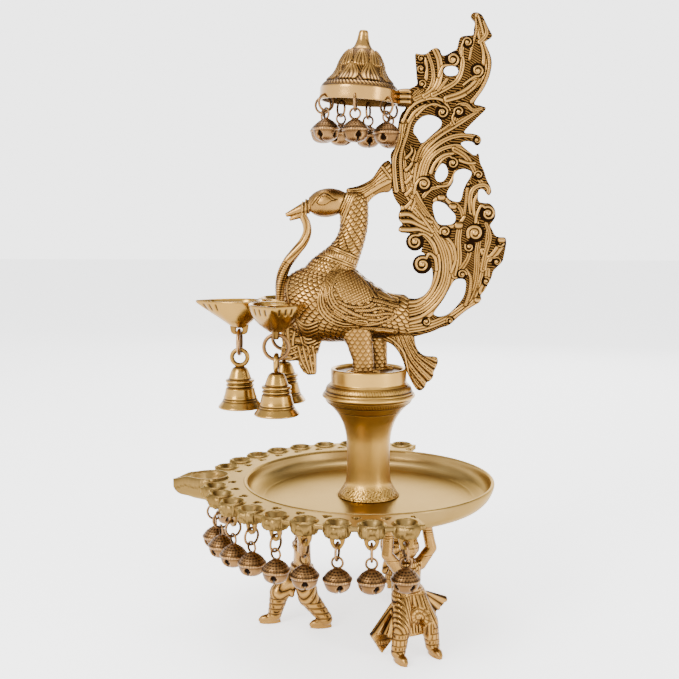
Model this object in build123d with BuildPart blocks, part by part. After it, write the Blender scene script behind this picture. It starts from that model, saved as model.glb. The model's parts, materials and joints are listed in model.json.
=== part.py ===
from build123d import *
import os
from math import cos, sin, radians, pi, atan2, degrees, hypot

os.makedirs("parts", exist_ok=True)

# ---- driving dimensions, millimetres ----
AXIS_X = 24.9            # the pedestal's axis, measured from the middle of the footprint
TRAY_TOP = 112.0         # height of the tray's flat rim above the floor
DISH_R = 93.0            # inside radius of the dish
FLANGE_R = 122.0         # outside radius of the cup-bearing flange
FLANGE_HALF = 109.0      # the flange runs this many degrees each side of the tip
CUP_RING_R = 117.0       # the small cups stand on this circle
CUP_R = 9.2
CUP_STEP = 11.1          # degrees from one cup to the next
CUP_FIRST = 14.5         # degrees from the tip to the first cup
CUPS_A_SIDE = 9
LUG_HOLE_Z = 99.5
LUG_HOLE_R = 2.2
RING_R = 5.85            # small hanging ring, centre line
RING_WIRE = 0.9
GHUNGROO_R = 9.4
BELL_RING_R = 9.0        # large ring that carries a lamp bell
BELL_RING_WIRE = 1.5
SOCKET_Z = 191.5         # floor of the pedestal's socket
TAIL_THICK = 5.6
CANOPY_X = -8.0
CANOPY_Z = 394.0         # canopy rim's lower edge, at the canopy's axis
CANOPY_TILT = 4.0
CANOPY_R = 29.0
DIYA_Z = 248.0           # rim of the three-spout lamp
DIYA_X = -67.0
DIYA_Y = 28.0
LEFT_DIYA_X = -98.0


def upright(x, y, z, turn):
    """Upright plane through a point of the lamp: local x points out at `turn`, local y points up."""
    c, s = cos(radians(turn)), sin(radians(turn))
    return Plane(origin=(AXIS_X + x, y, z), x_dir=(c, s, 0), z_dir=(s, -c, 0))


def level(x, y, z, turn=0.0):
    """Level plane through a point of the lamp, its local x at `turn`."""
    c, s = cos(radians(turn)), sin(radians(turn))
    return Plane(origin=(AXIS_X + x, y, z), x_dir=(c, s, 0), z_dir=(0, 0, 1))


def on_ring(radius, turn):
    return radius * cos(radians(turn)), radius * sin(radians(turn))


def rod(a, b, r_a, r_b):
    """Round tapered rod between two points of the lamp, added to the piece being built."""
    d = [b[i] - a[i] for i in range(3)]
    side = (1, 0, 0) if abs(d[2]) > 0.6 * hypot(d[0], d[1]) else (0, 0, 1)
    start = Plane(origin=(AXIS_X + a[0], a[1], a[2]), x_dir=Vector(*d).cross(Vector(*side)), z_dir=d)
    length = Vector(*d).length
    with BuildSketch(start) as first:
        Circle(r_a)
    with BuildSketch(start.offset(length)) as last:
        Circle(r_b)
    loft([first.sketch, last.sketch])


def ball(x, y, z, r):
    with Locations((AXIS_X + x, y, z)):
        Sphere(r * 1.04)


SIDE = upright(0, 0, 0, 0)
cup_turns = [180 + s * (CUP_FIRST + k * CUP_STEP) for s in (1, -1) for k in range(CUPS_A_SIDE)]

# ---- tray: dish, flange, small cups with their lugs, and the large pointed cup at the tip ----
TIP_X, TIP_R, TIP_END = -122.0, 14.6, -151.2


def tip_outline(grow):
    """Teardrop outline of the pointed cup, seen from above, made larger or smaller by `grow`."""
    r = TIP_R + grow
    with BuildLine() as outline:
        Spline((TIP_X - 3, -r), (TIP_X - 14, -r * 0.62), (TIP_END - grow, 0), tangents=((-1, 0), (-0.8, 0.6)))
        Spline((TIP_END - grow, 0), (TIP_X - 14, r * 0.62), (TIP_X - 3, r), tangents=((0.8, 0.6), (1, 0)))
        ThreePointArc((TIP_X - 3, r), (TIP_X + r - 1, 0), (TIP_X - 3, -r))
    make_face(outline.edges())


with BuildPart() as tray:
    with BuildSketch(SIDE):
        with BuildLine():
            Polyline((0, 95.5), (80, 95.5), (88, 98), (92.5, 103), (95.2, 108), (95.6, 112), (93, 112))
            Spline((93, 112), (91.4, 106), (86, 100.6), (79, 98.9))
            Polyline((79, 98.9), (0, 98.9), (0, 95.5))
        make_face()
    revolve(axis=Axis((AXIS_X, 0, 0), (0, 0, 1)))
    with BuildSketch(level(0, 0, TRAY_TOP - 4)):
        Circle(FLANGE_R)
        with BuildLine():
            end = on_ring(2 * FLANGE_R, 180 - FLANGE_HALF)
            Polyline((0, 0), end, (2 * FLANGE_R, end[1]), (2 * FLANGE_R, -end[1]), (end[0], -end[1]), (0, 0))
        make_face(mode=Mode.SUBTRACT)
        Circle(DISH_R + 1, mode=Mode.SUBTRACT)
    extrude(amount=4)
    for turn in cup_turns:
        x, y = on_ring(CUP_RING_R, turn)
        with Locations(level(x, y, TRAY_TOP - 3.6, turn)):
            Cylinder(CUP_R, 9.6)
        with BuildSketch(upright(x, y, 0, turn + 90)):
            with BuildLine():
                Polyline((-5.2, 104.5), (5.2, 104.5), (4.6, 99), (2.6, 95.2), (0, 94.4), (-2.6, 95.2),
                         (-4.6, 99), (-5.2, 104.5))
            make_face()
        extrude(amount=1.05, both=True)
        with BuildSketch(upright(x, y, 0, turn)):
            with BuildLine():
                Polyline((0, 106), (2.2, 106.6), (7.2, TRAY_TOP + 1.2), (7.2, TRAY_TOP + 2), (0, TRAY_TOP + 2),
                         (0, 106))
            make_face()
        revolve(axis=Axis((AXIS_X + x, y, 0), (0, 0, 1)), mode=Mode.SUBTRACT)
        with BuildSketch(upright(x, y, LUG_HOLE_Z, turn + 90)):
            Circle(LUG_HOLE_R)
        extrude(amount=4, both=True, mode=Mode.SUBTRACT)
    with BuildSketch(level(0, 0, 94)):
        with Locations((TIP_X - 3, 0)):
            Ellipse(9, 5)
    with BuildSketch(level(0, 0, TRAY_TOP + 1)):
        tip_outline(0)
    loft()
    with BuildSketch(level(0, 0, 97.5)):
        with Locations((TIP_X - 3, 0)):
            Ellipse(5, 3)
    with BuildSketch(level(0, 0, TRAY_TOP + 1.2)):
        tip_outline(-2.4)
    loft(mode=Mode.SUBTRACT)
    with BuildSketch(level(0, 0, TRAY_TOP + 1.2)):
        Circle(DISH_R)
    extrude(amount=-3, mode=Mode.SUBTRACT)
    for turn in [180 + s * (CUP_FIRST + (k - 0.5) * CUP_STEP) for s in (1, -1) for k in range(CUPS_A_SIDE + 1)]:
        x, y = on_ring(103.6, turn)
        with Locations(level(x, y, TRAY_TOP, turn)):
            with PolarLocations(1.7, 3):
                Sphere(1.5, mode=Mode.SUBTRACT)
    with Locations((AXIS_X, 0, 97)):
        Cylinder(3.3, 8, mode=Mode.SUBTRACT)

# ---- pedestal: cast baluster with an open socket on top ----
with BuildPart() as pedestal:
    with BuildSketch(SIDE):
        with BuildLine():
            Line((0, 99.1), (22.5, 99.1))
            Spline((22.5, 99.1), (22.3, 101.5), (19.4, 106), (17.2, 111), (16.4, 125), (16.6, 143), (19.6, 155),
                   (25.2, 165))
            Polyline((25.2, 165), (29.8, 170), (30.6, 171), (34.2, 175.2), (35.2, 177), (33.4, 180.6), (31.4, 183),
                     (30.2, 186), (28.7, 186.8), (28.7, 196.7), (28, 197.5), (25.4, 197.5), (25.2, SOCKET_Z),
                     (0, SOCKET_Z), (0, 99.1))
        make_face()
    revolve(axis=Axis((AXIS_X, 0, 0), (0, 0, 1)))
    with Locations((AXIS_X, 0, 145)):
        Cylinder(3.3, 110, mode=Mode.SUBTRACT)
    for z, r in ((172.6, 32.2), (182, 31.8)):
        with Locations((AXIS_X, 0, z)):
            Torus(r, 1.1)

# ---- tie bolt through dish and pedestal, with its nut under the dish ----
with BuildPart() as tie_bolt:
    with Locations((AXIS_X, 0, 140)):
        Cylinder(3.0, 104)
    with Locations((AXIS_X, 0, 193.1)):
        Cylinder(6.0, 2.8)
with BuildPart() as tie_nut:
    with BuildSketch(level(0, 0, 90.5)):
        RegularPolygon(6.2, 6)
        Circle(3.1, mode=Mode.SUBTRACT)
    extrude(amount=4.9)

# ---- peacock: base disc with both legs, body with neck and head, wings ----
BODY = ((-63.5, 246, 258, 7), (-59, 230, 268, 14), (-50, 221, 273, 19.5), (-38, 218, 276, 22.5),
        (-24, 217.5, 275, 23.5), (-8, 218.5, 269, 22), (6, 220, 259.5, 17.5), (18, 221.5, 254, 12.5),
        (30, 223, 250, 6))
NECK = ((266, -51, -9, 16), (276, -46, -8.5, 14), (285, -35.5, -5.5, 11.5), (293, -26.5, -3.2, 9.6),
        (303, -22, -1.2, 8.8), (313, -22, -0.6, 8.6), (322, -21.5, -0.8, 8.4), (329, -19, -4, 5))
with BuildPart() as peacock_body:
    for x, low, high, half in BODY:
        with BuildSketch(Plane(origin=(AXIS_X + x, 0, (low + high) / 2), x_dir=(0, 1, 0), z_dir=(1, 0, 0))):
            Ellipse(half, (high - low) / 2)
    loft()
    for z, front, back, half in NECK:
        with BuildSketch(level((front + back) / 2, 0, z)):
            Ellipse((back - front) / 2, half)
    loft()
    with BuildSketch(SIDE):
        with BuildLine():
            Spline((-46.5, 319), (-43, 327), (-34, 331.6), (-24, 331.4), (-12, 324))
            Line((-12, 324), (-46.5, 319))
        make_face()
    revolve(axis=Axis((AXIS_X - 46.5, 0, 319), (34.5, 0, 5)))
    for x, z, r in ((-46, 318.4, 5.6), (-48.4, 317.3, 4.9)):
        with Locations(Location((AXIS_X + x, 0, z), (0, -98, 0))):
            Cylinder(r, 1.7)
    rod((-46, 0, 318), (-62.2, 0, 312), 5.0, 1.5)
    rod((-47, 0, 314), (-59.5, 0, 308.6), 3.4, 1.0)
    for side in (1, -1):
        with Locations(Location((AXIS_X - 32, side * 8.3, 322.4), (90 - side * 6, 0, 0))):
            Cylinder(4.6, 2.6)

with BuildPart() as peacock_base:
    with BuildSketch(level(0, 0, SOCKET_Z + 0.1)):
        Circle(24.8)
    extrude(amount=3.2)
    with Locations((AXIS_X, 0, 193)):
        Cylinder(6.6, 3.2, mode=Mode.SUBTRACT)
    for y, x_foot, x_top in ((-11, -4, -9), (11, 6, 3)):
        with BuildSketch(level(x_foot, y, 194.5)):
            Ellipse(7.6, 4.8)
        with BuildSketch(level(x_foot, y, 208)):
            Ellipse(7.4, 4.6)
        with BuildSketch(level(x_top, y * 0.95, 226)):
            Ellipse(11, 6.6)
        loft()
        for toe in (-38, 0, 38, 180):
            tx, ty = on_ring(11.0, 180 + toe)
            rod((x_foot + tx * 0.3, y + ty * 0.3, 197.2), (x_foot + tx * 1.15, y + ty * 0.75, 195.6), 2.2, 1.3)
    add(peacock_body.part, mode=Mode.SUBTRACT)

WING = ((-24, 276), (-14, 275), (-6, 268), (8, 258), (22, 247.5))
with BuildPart() as peacock_wings:
    for x, low, high, half in BODY:
        with BuildSketch(Plane(origin=(AXIS_X + x, 0, (low + high) / 2), x_dir=(0, 1, 0), z_dir=(1, 0, 0))):
            Ellipse(half + 2.4, (high - low) / 2 + 2.0)
    loft()
    with BuildSketch(SIDE):
        with BuildLine():
            Spline(*WING)
            Spline((22, 247.5), (16, 236), (2, 231.5), (-16, 235), (-29, 246), (-32.5, 258), (-24, 276))
        make_face()
    extrude(amount=40, both=True, mode=Mode.INTERSECT)
    with Locations((AXIS_X, 0, 260)):
        Box(120, 8, 80, mode=Mode.SUBTRACT)
    add(peacock_body.part, mode=Mode.SUBTRACT)

with BuildPart() as crest:
    with BuildSketch(SIDE):
        with BuildLine():
            Spline((-19, 331.6), (-8, 333.6), (2, 338.5), (6, 345), (10, 350.6), (15.4, 353))
            Polyline((15.4, 353), (17.2, 340), (16.4, 328.4))
            Spline((16.4, 328.4), (8, 328), (2, 324.6), (-3, 318), (-12, 322), (-19, 331.6))
        make_face()
    extrude(amount=3.6, both=True)
    add(peacock_body.part, mode=Mode.SUBTRACT)

# ---- tail: pierced plate of scrolling stems, volutes and leaves ----
TAIL_BASE = ((23, 250.6), (31, 250.6), (36, 250.2), (42, 253), (46, 259), (47.5, 266), (46.5, 270))
TAIL_FRONT = ((37, 284), (40.5, 292.5), (30, 299), (24, 299), (21.5, 301), (23.5, 305), (21.5, 311), (22, 317),
              (20, 322), (17, 328), (16, 335), (16, 350), (15, 357), (20, 363), (20, 372), (22, 385), (27, 390),
              (27, 402), (35, 406), (34, 412), (33.5, 420), (33, 429))
TAIL_CROWN = ((36, 428), (41, 428), (44, 431), (48, 432.8), (51, 431), (52, 427), (55, 427), (60, 430), (63, 431),
              (64, 436), (65, 440), (70, 441), (75, 441), (75, 446), (76, 450), (73, 452), (72.4, 455), (74.6, 457.4),
              (78, 457.2), (81, 455), (83, 451), (86, 445), (89, 440), (84, 437), (83, 436))
TAIL_BACK = ((86, 430), (88, 425), (88.5, 420), (87, 412), (83, 403), (77, 395), (76, 392), (80, 391.5),
             (86, 389.5), (79, 383), (70, 374), (69, 371), (78, 370.5), (82, 367), (80, 363), (77.5, 363), (76, 366),
             (70, 366), (66, 364), (72, 359), (77, 355), (80, 358), (81, 350), (84, 345), (86, 338), (89, 333),
             (90, 329), (87, 326), (85, 329), (81, 331), (80, 329), (80, 322), (84, 321), (89, 321), (93, 316),
             (93, 310), (89, 305), (90, 303), (93, 297), (101, 296), (101.5, 291), (100, 283), (99, 278), (95, 274),
             (92, 271), (91, 266), (88, 260), (85, 255), (84, 250), (82, 247), (78, 245))
TAIL_UNDER = ((72, 241), (66, 236), (60, 230), (54, 228.5), (48, 225.5), (40, 223), (34, 221.5), (24, 221.5))
TAIL_HOLES = (
    ((64, 265), (71, 265), (72.5, 261), (71, 252), (66, 245), (59, 238), (52, 236.5), (48, 238.5), (50, 242),
     (56, 250), (60, 258)),
    ((47, 321), (50, 322), (57, 320), (59, 317), (64, 312), (63.5, 307), (60, 305), (52, 305), (49, 309), (47, 316)),
    ((58, 330), (57, 326), (60, 323), (66, 321.5), (68, 324), (69, 330), (71, 335), (75, 341), (75, 344), (70, 346),
     (65, 345), (62, 342), (62, 336)),
    ((48, 340), (49, 344), (53, 350), (56, 349), (58, 344), (57, 340), (54, 336.5), (50, 336.5)),
    ((32, 372), (33, 378), (38, 383), (44, 385), (50, 383), (53, 380), (52, 376), (45, 370), (38, 363.5), (35, 369)))
VOLUTES = ((34, 292.5, 6.5), (39.5, 275.5, 7), (53, 386.5, 6), (65, 387, 4.5), (60, 424, 6), (37, 417.5, 3),
           (38, 407, 3.5), (70.5, 436, 4), (78, 416, 5), (79, 366.5, 3.5), (61, 350, 4.5), (40, 335, 5.5),
           (80, 341.5, 3.5), (88, 313, 6), (56, 300, 4.5), (78, 299, 6.5), (74, 288.5, 4),
           (97, 292, 4), (69, 269, 3.5), (94, 278, 4), (43, 233, 3.5), (61, 234, 3))
with BuildPart() as tail_scroll:
    with BuildSketch(SIDE):
        with BuildLine():
            Polyline(*TAIL_BASE, *TAIL_FRONT, *TAIL_CROWN, *TAIL_BACK, *TAIL_UNDER, TAIL_BASE[0])
        make_face()
        for x, z, r in VOLUTES[:2]:
            with Locations((x, z)):
                Circle(r)
        for hole in TAIL_HOLES:
            with BuildLine():
                Polyline(*hole, hole[0])
            make_face(mode=Mode.SUBTRACT)
        with Locations((59, 416)):
            Ellipse(5.6, 3.7, mode=Mode.SUBTRACT)
    extrude(amount=TAIL_THICK / 2, both=True)
    for x, z, r in VOLUTES:
        with BuildSketch(SIDE):
            with Locations((x, z)):
                Circle(r * 0.86)
                Circle(r * 0.5, mode=Mode.SUBTRACT)
                Circle(r * 0.28)
        extrude(amount=TAIL_THICK / 2 + 0.8, both=True)
    add(peacock_body.part, mode=Mode.SUBTRACT)
    add(crest.part, mode=Mode.SUBTRACT)

# ---- fan of feathers under the tail ----
with BuildPart() as fan_tail:
    with BuildSketch(SIDE):
        with BuildLine():
            Polyline((8, 222), (18, 216), (23, 210), (26, 203), (27.6, 198.4), (30, 193), (33, 186), (36, 181.6),
                     (38.6, 180.2), (43, 184), (44, 187.4), (48.6, 191), (49, 195.6), (52, 203), (51.4, 206.6),
                     (42, 206.8), (37.4, 210.4), (35, 215.4), (34, 224), (8, 226), (8, 222))
        make_face()
    extrude(amount=3.2, both=True)
    for a, b in (((22, 218), (40, 183)), ((24, 218), (44.5, 188)), ((26, 218), (48, 194)), ((28, 219), (50.5, 203))):
        rod((a[0], 0, a[1]), (b[0], 0, b[1]), 3.2, 4.3)
    add(peacock_body.part, mode=Mode.SUBTRACT)
    add(tail_scroll.part, mode=Mode.SUBTRACT)
    add(pedestal.part, mode=Mode.SUBTRACT)

# ---- lamp with three spouts, carried in front of the breast ----
SPOUTS = ((LEFT_DIYA_X, 0, 180, 33.0, 17.0), (DIYA_X, -DIYA_Y, -90, 31.0, 18.0), (DIYA_X, DIYA_Y, 90, 31.0, 18.0))


def spout_outline(reach, r, grow):
    """Teardrop seen from above, its point out along local x."""
    with BuildLine() as outline:
        Spline((-0.1 * r, r + grow), (0.75 * r, (r + grow) * 0.66), (reach + grow, 0), tangents=((1, 0), (1, -0.5)))
        Spline((reach + grow, 0), (0.75 * r, -(r + grow) * 0.66), (-0.1 * r, -r - grow), tangents=((-1, -0.5), (-1, 0)))
        ThreePointArc((-0.1 * r, -r - grow), (-1.1 * r - grow, 0), (-0.1 * r, r + grow))
    make_face(outline.edges())


with BuildPart() as triple_lamp:
    for x, y, turn, reach, r in SPOUTS:
        with BuildSketch(level(x, y, 227.5, turn)):
            Ellipse(5.2, 4.4)
        with BuildSketch(level(x, y, 234, turn)):
            Ellipse(13.0, 11.2)
        with BuildSketch(level(x, y, DIYA_Z - 5.5, turn)):
            spout_outline(reach - 5.5, r - 2.2, 0)
        with BuildSketch(level(x, y, DIYA_Z, turn)):
            spout_outline(reach, r, 0)
        loft(ruled=True)
    with BuildSketch(level(DIYA_X, 0, 240)):
        Circle(13)
    with BuildSketch(level(DIYA_X, 0, DIYA_Z)):
        Circle(18)
    loft()
    with BuildSketch(level(DIYA_X + 9, 0, 241)):
        Rectangle(16, 12)
    extrude(amount=6)
    add(peacock_body.part, mode=Mode.SUBTRACT)
    for x, y, turn, reach, r in SPOUTS:
        with BuildSketch(level(x, y, 232.5, turn)):
            Ellipse(6, 4.4)
        with BuildSketch(level(x, y, DIYA_Z + 0.1, turn)):
            spout_outline(reach, r, -1.9)
        loft(mode=Mode.SUBTRACT)
        with BuildSketch(upright(x, y, 0, turn)):
            with BuildLine():
                Polyline((-6.8, 230.5), (6.8, 230.5), (6.2, 224.4), (3.4, 222.4), (-3.4, 222.4), (-6.2, 224.4),
                         (-6.8, 230.5))
            make_face()
        extrude(amount=2.0, both=True)
        with BuildSketch(upright(x, y, 226, turn)):
            Circle(2.5)
        extrude(amount=5, both=True, mode=Mode.SUBTRACT)

# ---- branch held in the beak and resting on the breast ----
BRANCH = ((-49.5, 311), (-46.8, 306), (-46.4, 299), (-49.5, 291.5), (-55.5, 284), (-61, 277), (-64.6, 269),
          (-66, 260), (-65.6, 250))
with BuildPart() as beak_branch:
    for k, (x, z) in enumerate(BRANCH):
        before, after = BRANCH[max(k - 1, 0)], BRANCH[min(k + 1, len(BRANCH) - 1)]
        along = (after[0] - before[0], 0, after[1] - before[1])
        with BuildSketch(Plane(origin=(AXIS_X + x, 0, z), x_dir=(0, 1, 0), z_dir=along)):
            Circle(2.9 + 0.26 * k)
    loft()
    add(peacock_body.part, mode=Mode.SUBTRACT)
    add(triple_lamp.part, mode=Mode.SUBTRACT)

# ---- drooping plume under the breast, with its leaf and bracket foliage ----
with BuildPart() as breast_plume:
    with BuildSketch(SIDE):
        with BuildLine():
            Polyline((-56, 238), (-66, 227), (-64.5, 215), (-67, 205.5), (-60, 203), (-53, 203.2), (-52.5, 200),
                     (-49.5, 195), (-45.5, 192.6), (-39.8, 193), (-39.6, 208), (-36.5, 216), (-33, 222), (-40, 238),
                     (-56, 238))
        make_face()
    extrude(amount=4.8, both=True)
    for x, z, deep, half in ((-45, 234, 12, 10.5), (-44.4, 221, 9.2, 8.4), (-43.6, 208.5, 5.2, 5.4)):
        with BuildSketch(level(x, 0, z)):
            Ellipse(deep, half)
    loft()
    add(peacock_body.part, mode=Mode.SUBTRACT)
    add(triple_lamp.part, mode=Mode.SUBTRACT)

# ---- the three bells on that lamp: ring, bell and clapper each ----
BELL_RING_TOP = 225.6    # where the ring's wire passes through its lug
BELL_LINK = BELL_RING_TOP - 2 * BELL_RING_R
BELL_SHIFT = (0.0, -3.2, -3.2)
bell_rings, bells, clappers = [], [], []
for (x, y, turn, reach, r) in SPOUTS:
    with BuildPart() as bell_ring:
        with Locations(upright(x, y, BELL_RING_TOP - BELL_RING_R, turn + 90)):
            Torus(BELL_RING_R, BELL_RING_WIRE)
    bell_rings.append(bell_ring)
    with BuildPart() as bell:
        with Locations(upright(x, y, BELL_LINK + 3.2 - 5.9, turn)):
            Torus(5.9, 1.5)
        with BuildSketch(upright(x, y, 0, turn)):
            with BuildLine():
                Line((0, 198.2), (4.6, 197.4))
                Spline((4.6, 197.4), (7.2, 193.5), (8.6, 188.6))
                Polyline((8.6, 188.6), (10.6, 187.4), (9.5, 185.6), (10, 183.4), (10.7, 183), (10.3, 181.6), (11, 178))
                Spline((11, 178), (12.2, 173.6), (14, 170.4), (16.6, 167.8))
                Polyline((16.6, 167.8), (16.2, 166.6), (14.6, 167.2))
                Spline((14.6, 167.2), (12, 171.6), (9.4, 178), (7.6, 187), (6.2, 192))
                Polyline((6.2, 192), (4, 195), (0, 195.4), (0, 198.2))
            make_face()
        revolve(axis=Axis((AXIS_X + x, y, 0), (0, 0, 1)))
        with Locations(Location(upright(x, y, 189, turn).location)):
            Cylinder(0.8, 15)
    bells.append(bell)
    with BuildPart() as clapper:
        with Locations(upright(x, y, 188.4, turn)):
            Torus(2.4, 0.7)
        rod((x, y, 186.2), (x, y, 171), 0.9, 1.1)
        with Locations((AXIS_X + x, y, 169)):
            Sphere(3.4)
        rod((x, y, 166.5), (x, y, 163.8), 1.6, 1.0)
    clappers.append(clapper)

# ---- canopy over the peacock, its arm, and the small bells round its rim ----
tilt = radians(CANOPY_TILT)
CANOPY = Plane(origin=(AXIS_X + CANOPY_X, 0, CANOPY_Z), x_dir=(cos(tilt), 0, -sin(tilt)), z_dir=(0, -1, 0))
canopy_axis = Axis((AXIS_X + CANOPY_X, 0, CANOPY_Z), (sin(tilt), 0, cos(tilt)))
canopy_turns = (33, 77, 121, 165, 213, 266, 317)


def rim_point(turn, inward, up):
    """Point of the canopy's rim band, `up` above its lower edge, in lamp coordinates."""
    out = CANOPY_R - inward
    local = out * cos(radians(turn)), out * sin(radians(turn))
    return (CANOPY_X + local[0] * cos(tilt) + up * sin(tilt), local[1],
            CANOPY_Z - local[0] * sin(tilt) + up * cos(tilt))


with BuildPart() as canopy:
    with BuildSketch(CANOPY):
        with BuildLine():
            Polyline((26.6, 0), (CANOPY_R, 0), (CANOPY_R, 9.4), (27.6, 10.6), (26.8, 12.2), (25.6, 12.6))
            Spline((25.6, 12.6), (21.5, 16.5), (18.4, 21), (16.5, 26), (14.2, 31), (11.2, 35.4), (8.2, 37.6))
            Spline((8.2, 37.6), (5.8, 40.5), (4.2, 45), (3.4, 50))
            Polyline((3.4, 50), (2.4, 51.2), (0, 51.4), (0, 36))
            Spline((0, 36), (8, 34), (12.4, 27), (15.4, 20), (20, 14.4), (24.6, 10))
            Polyline((24.6, 10), (26.6, 8.6), (26.6, 0))
        make_face()
    revolve(axis=canopy_axis)
    for turn in canopy_turns:
        x, y, z = rim_point(turn, 1.2, 3.4)
        with BuildSketch(upright(x, y, z, turn + 90)):
            Circle(LUG_HOLE_R)
        extrude(amount=5, both=True, mode=Mode.SUBTRACT)

with BuildPart() as canopy_arm:
    with BuildSketch(SIDE):
        with BuildLine():
            Polyline((19.6, 393.2), (19.6, 403.6), (26, 401.6), (31, 403.4), (31, 390.6), (19.6, 393.2))
        make_face()
    extrude(amount=6.4, both=True)
    with BuildSketch(CANOPY):
        Rectangle(CANOPY_R, 60, align=(Align.MIN, Align.CENTER))
    revolve(axis=canopy_axis, mode=Mode.SUBTRACT)
    add(tail_scroll.part, mode=Mode.SUBTRACT)


def ghungroo(x, y, z, turn):
    """Small round bell on its ring; (x, y, z) is where the ring's wire passes through its hole."""
    ring_z = z - RING_R
    link = ring_z - RING_R
    loop_z = link + RING_WIRE + 0.8 + 0.15 - 3.7
    centre = loop_z - 3.7 - 7.6
    with BuildPart() as pendant:
        with Locations(upright(x, y, ring_z, turn)):
            Torus(RING_R, RING_WIRE)
        with Locations(upright(x, y, loop_z, turn + 90)):
            Torus(3.7, 0.8)
        with BuildSketch(upright(x, y, centre, turn)):
            with BuildLine():
                Line((0, 8.0), (1.6, 7.8))
                Spline((1.6, 7.8), (6.4, 5.2), (9.2, 1.2))
                Polyline((9.2, 1.2), (9.9, 0.7), (9.9, -0.4), (9.2, -0.9))
                Spline((9.2, -0.9), (6.6, -6.2), (0, -8.7), tangents=((-0.3, -1), (-1, 0)))
                Line((0, -8.7), (0, -7.5))
                Spline((0, -7.5), (5.6, -5.3), (8.0, -0.6), (5.4, 4.3), (0, 6.6), tangents=((1, 0), (-1, 0)))
                Line((0, 6.6), (0, 8.0))
            make_face()
        revolve(axis=Axis((AXIS_X + x, y, 0), (0, 0, 1)))
        with BuildSketch(upright(x, y, centre - 3.6, turn + 25)):
            Circle(1.9)
        extrude(amount=12, both=True, mode=Mode.SUBTRACT)
        with BuildSketch(level(x, y, centre - 9.2, turn + 115)):
            Rectangle(14.5, 1.3)
        extrude(amount=5.6, mode=Mode.SUBTRACT)
        with Locations((AXIS_X + x, y, centre - 4.4)):
            Sphere(2.6)
    return pendant


canopy_pendants = [ghungroo(*rim_point(turn, 1.2, 2.9), turn) for turn in canopy_turns]
tray_pendants = [ghungroo(*on_ring(CUP_RING_R, turn), LUG_HOLE_Z - 0.5, turn) for turn in cup_turns]


# ---- three figures that stand on the floor and hold the tray up on raised arms ----
def figure(cx, cy, turn, feet, skirt):
    """Standing figure facing out at `turn`; feet are (out, across) pairs from its own axis."""
    c, s = cos(radians(turn)), sin(radians(turn))

    def at(out, across, z):
        return cx + out * c - across * s, cy + out * s + across * c, z

    with BuildPart() as body:
        for (out, across), side in zip(feet, (-1, 1)):
            knee = at(out * 0.55 + 5, across * 0.8, 24)
            rod(at(0, side * 5, 42), knee, 7.0, 5.6)
            ball(*knee, 5.6)
            rod(knee, at(out - 1, across, 4.6), 5.2, 3.4)
            with BuildSketch(level(*at(out + 2.5, across, 0), turn)):
                Ellipse(8.6, 3.9)
            with BuildSketch(level(*at(out + 0.5, across, 7), turn)):
                Ellipse(4.4, 3.2)
            loft()
        for z, wide, deep in ((35, 9.0, 7.6), (47, 9.2, 6.9), (66.5, 10.6, 6.3)):
            with BuildSketch(level(*at(0, 0, z), turn)):
                Ellipse(deep, wide)
        loft()
        rod(at(0, 0, 64), at(0.5, 0, 72), 4.0, 3.4)
        with Locations((AXIS_X + at(1, 0, 0)[0], at(1, 0, 0)[1], 77.5)):
            Sphere(7.2)
        for side in (-1, 1):
            shoulder, elbow = at(0, side * 9.5, 63.5), at(1, side * 18, 74)
            rod(shoulder, elbow, 4.3, 3.8)
            ball(*elbow, 3.8)
            ball(*shoulder, 4.6)
            rod(elbow, at(-2, side * 15, 93), 3.8, 4.2)
            with Locations((AXIS_X + at(-2, side * 15, 0)[0], at(-2, side * 15, 0)[1], 93.6)):
                Cylinder(4.8, 3.4)
        if skirt:
            for z_low, w_low, z_high, w_high in ((14, 19, 46, 9.6),):
                with BuildSketch(level(*at(0, 0, z_low), turn)):
                    Ellipse(10.5, w_low)
                with BuildSketch(level(*at(0, 0, z_high), turn)):
                    Ellipse(7.2, w_high)
                loft()
            for side, tip_w, tip_z in ((-1, 31, 17), (1, 27, 33)):
                with BuildSketch(upright(*at(0, 0, 0), turn + 90)):
                    with BuildLine():
                        Polyline((side * 4, 45), (side * tip_w, tip_z), (side * (tip_w - 9), tip_z - 15),
                                 (side * 10, 14), (side * 4, 45))
                    make_face()
                extrude(amount=2.2, both=True)
    return body


FIGURES = (("front", 30, -56, -62, ((14, -15), (14, 13)), True),
           ("left", -50, -13, 190, ((22, -6), (-16, 8)), False),
           ("rear", 21, 52, 62, ((-13, -10), (14, 10)), False))
figures = [(name, figure(x, y, turn, feet, skirt)) for name, x, y, turn, feet, skirt in FIGURES]

# ---- write every piece ----
pieces = [("tray", tray), ("pedestal", pedestal), ("tie_bolt", tie_bolt), ("tie_nut", tie_nut),
          ("peacock_base", peacock_base), ("peacock_body", peacock_body), ("peacock_wings", peacock_wings),
          ("crest", crest), ("beak_branch", beak_branch), ("breast_plume", breast_plume), ("fan_tail", fan_tail),
          ("tail_scroll", tail_scroll), ("triple_lamp", triple_lamp), ("canopy", canopy), ("canopy_arm", canopy_arm)]
pieces += [("figure_" + name, body) for name, body in figures]
for name, ring, bell, clapper in zip(("left", "front", "rear"), bell_rings, bells, clappers):
    pieces += [("bell_ring_" + name, ring), ("bell_" + name, bell), ("clapper_" + name, clapper)]
pieces += [(f"canopy_ghungroo_{k}", pendant) for k, pendant in enumerate(canopy_pendants, 1)]
pieces += [(f"tray_ghungroo_{'near' if k <= 9 else 'far'}_{(k - 1) % 9 + 1}", pendant)
           for k, pendant in enumerate(tray_pendants, 1)]
for name, piece in pieces:
    piece.part.label = name
    export_step(piece.part, f"parts/{name}.step")
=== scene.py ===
import bpy
import json
import math
import numpy as np
from mathutils import Vector, Matrix


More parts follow.
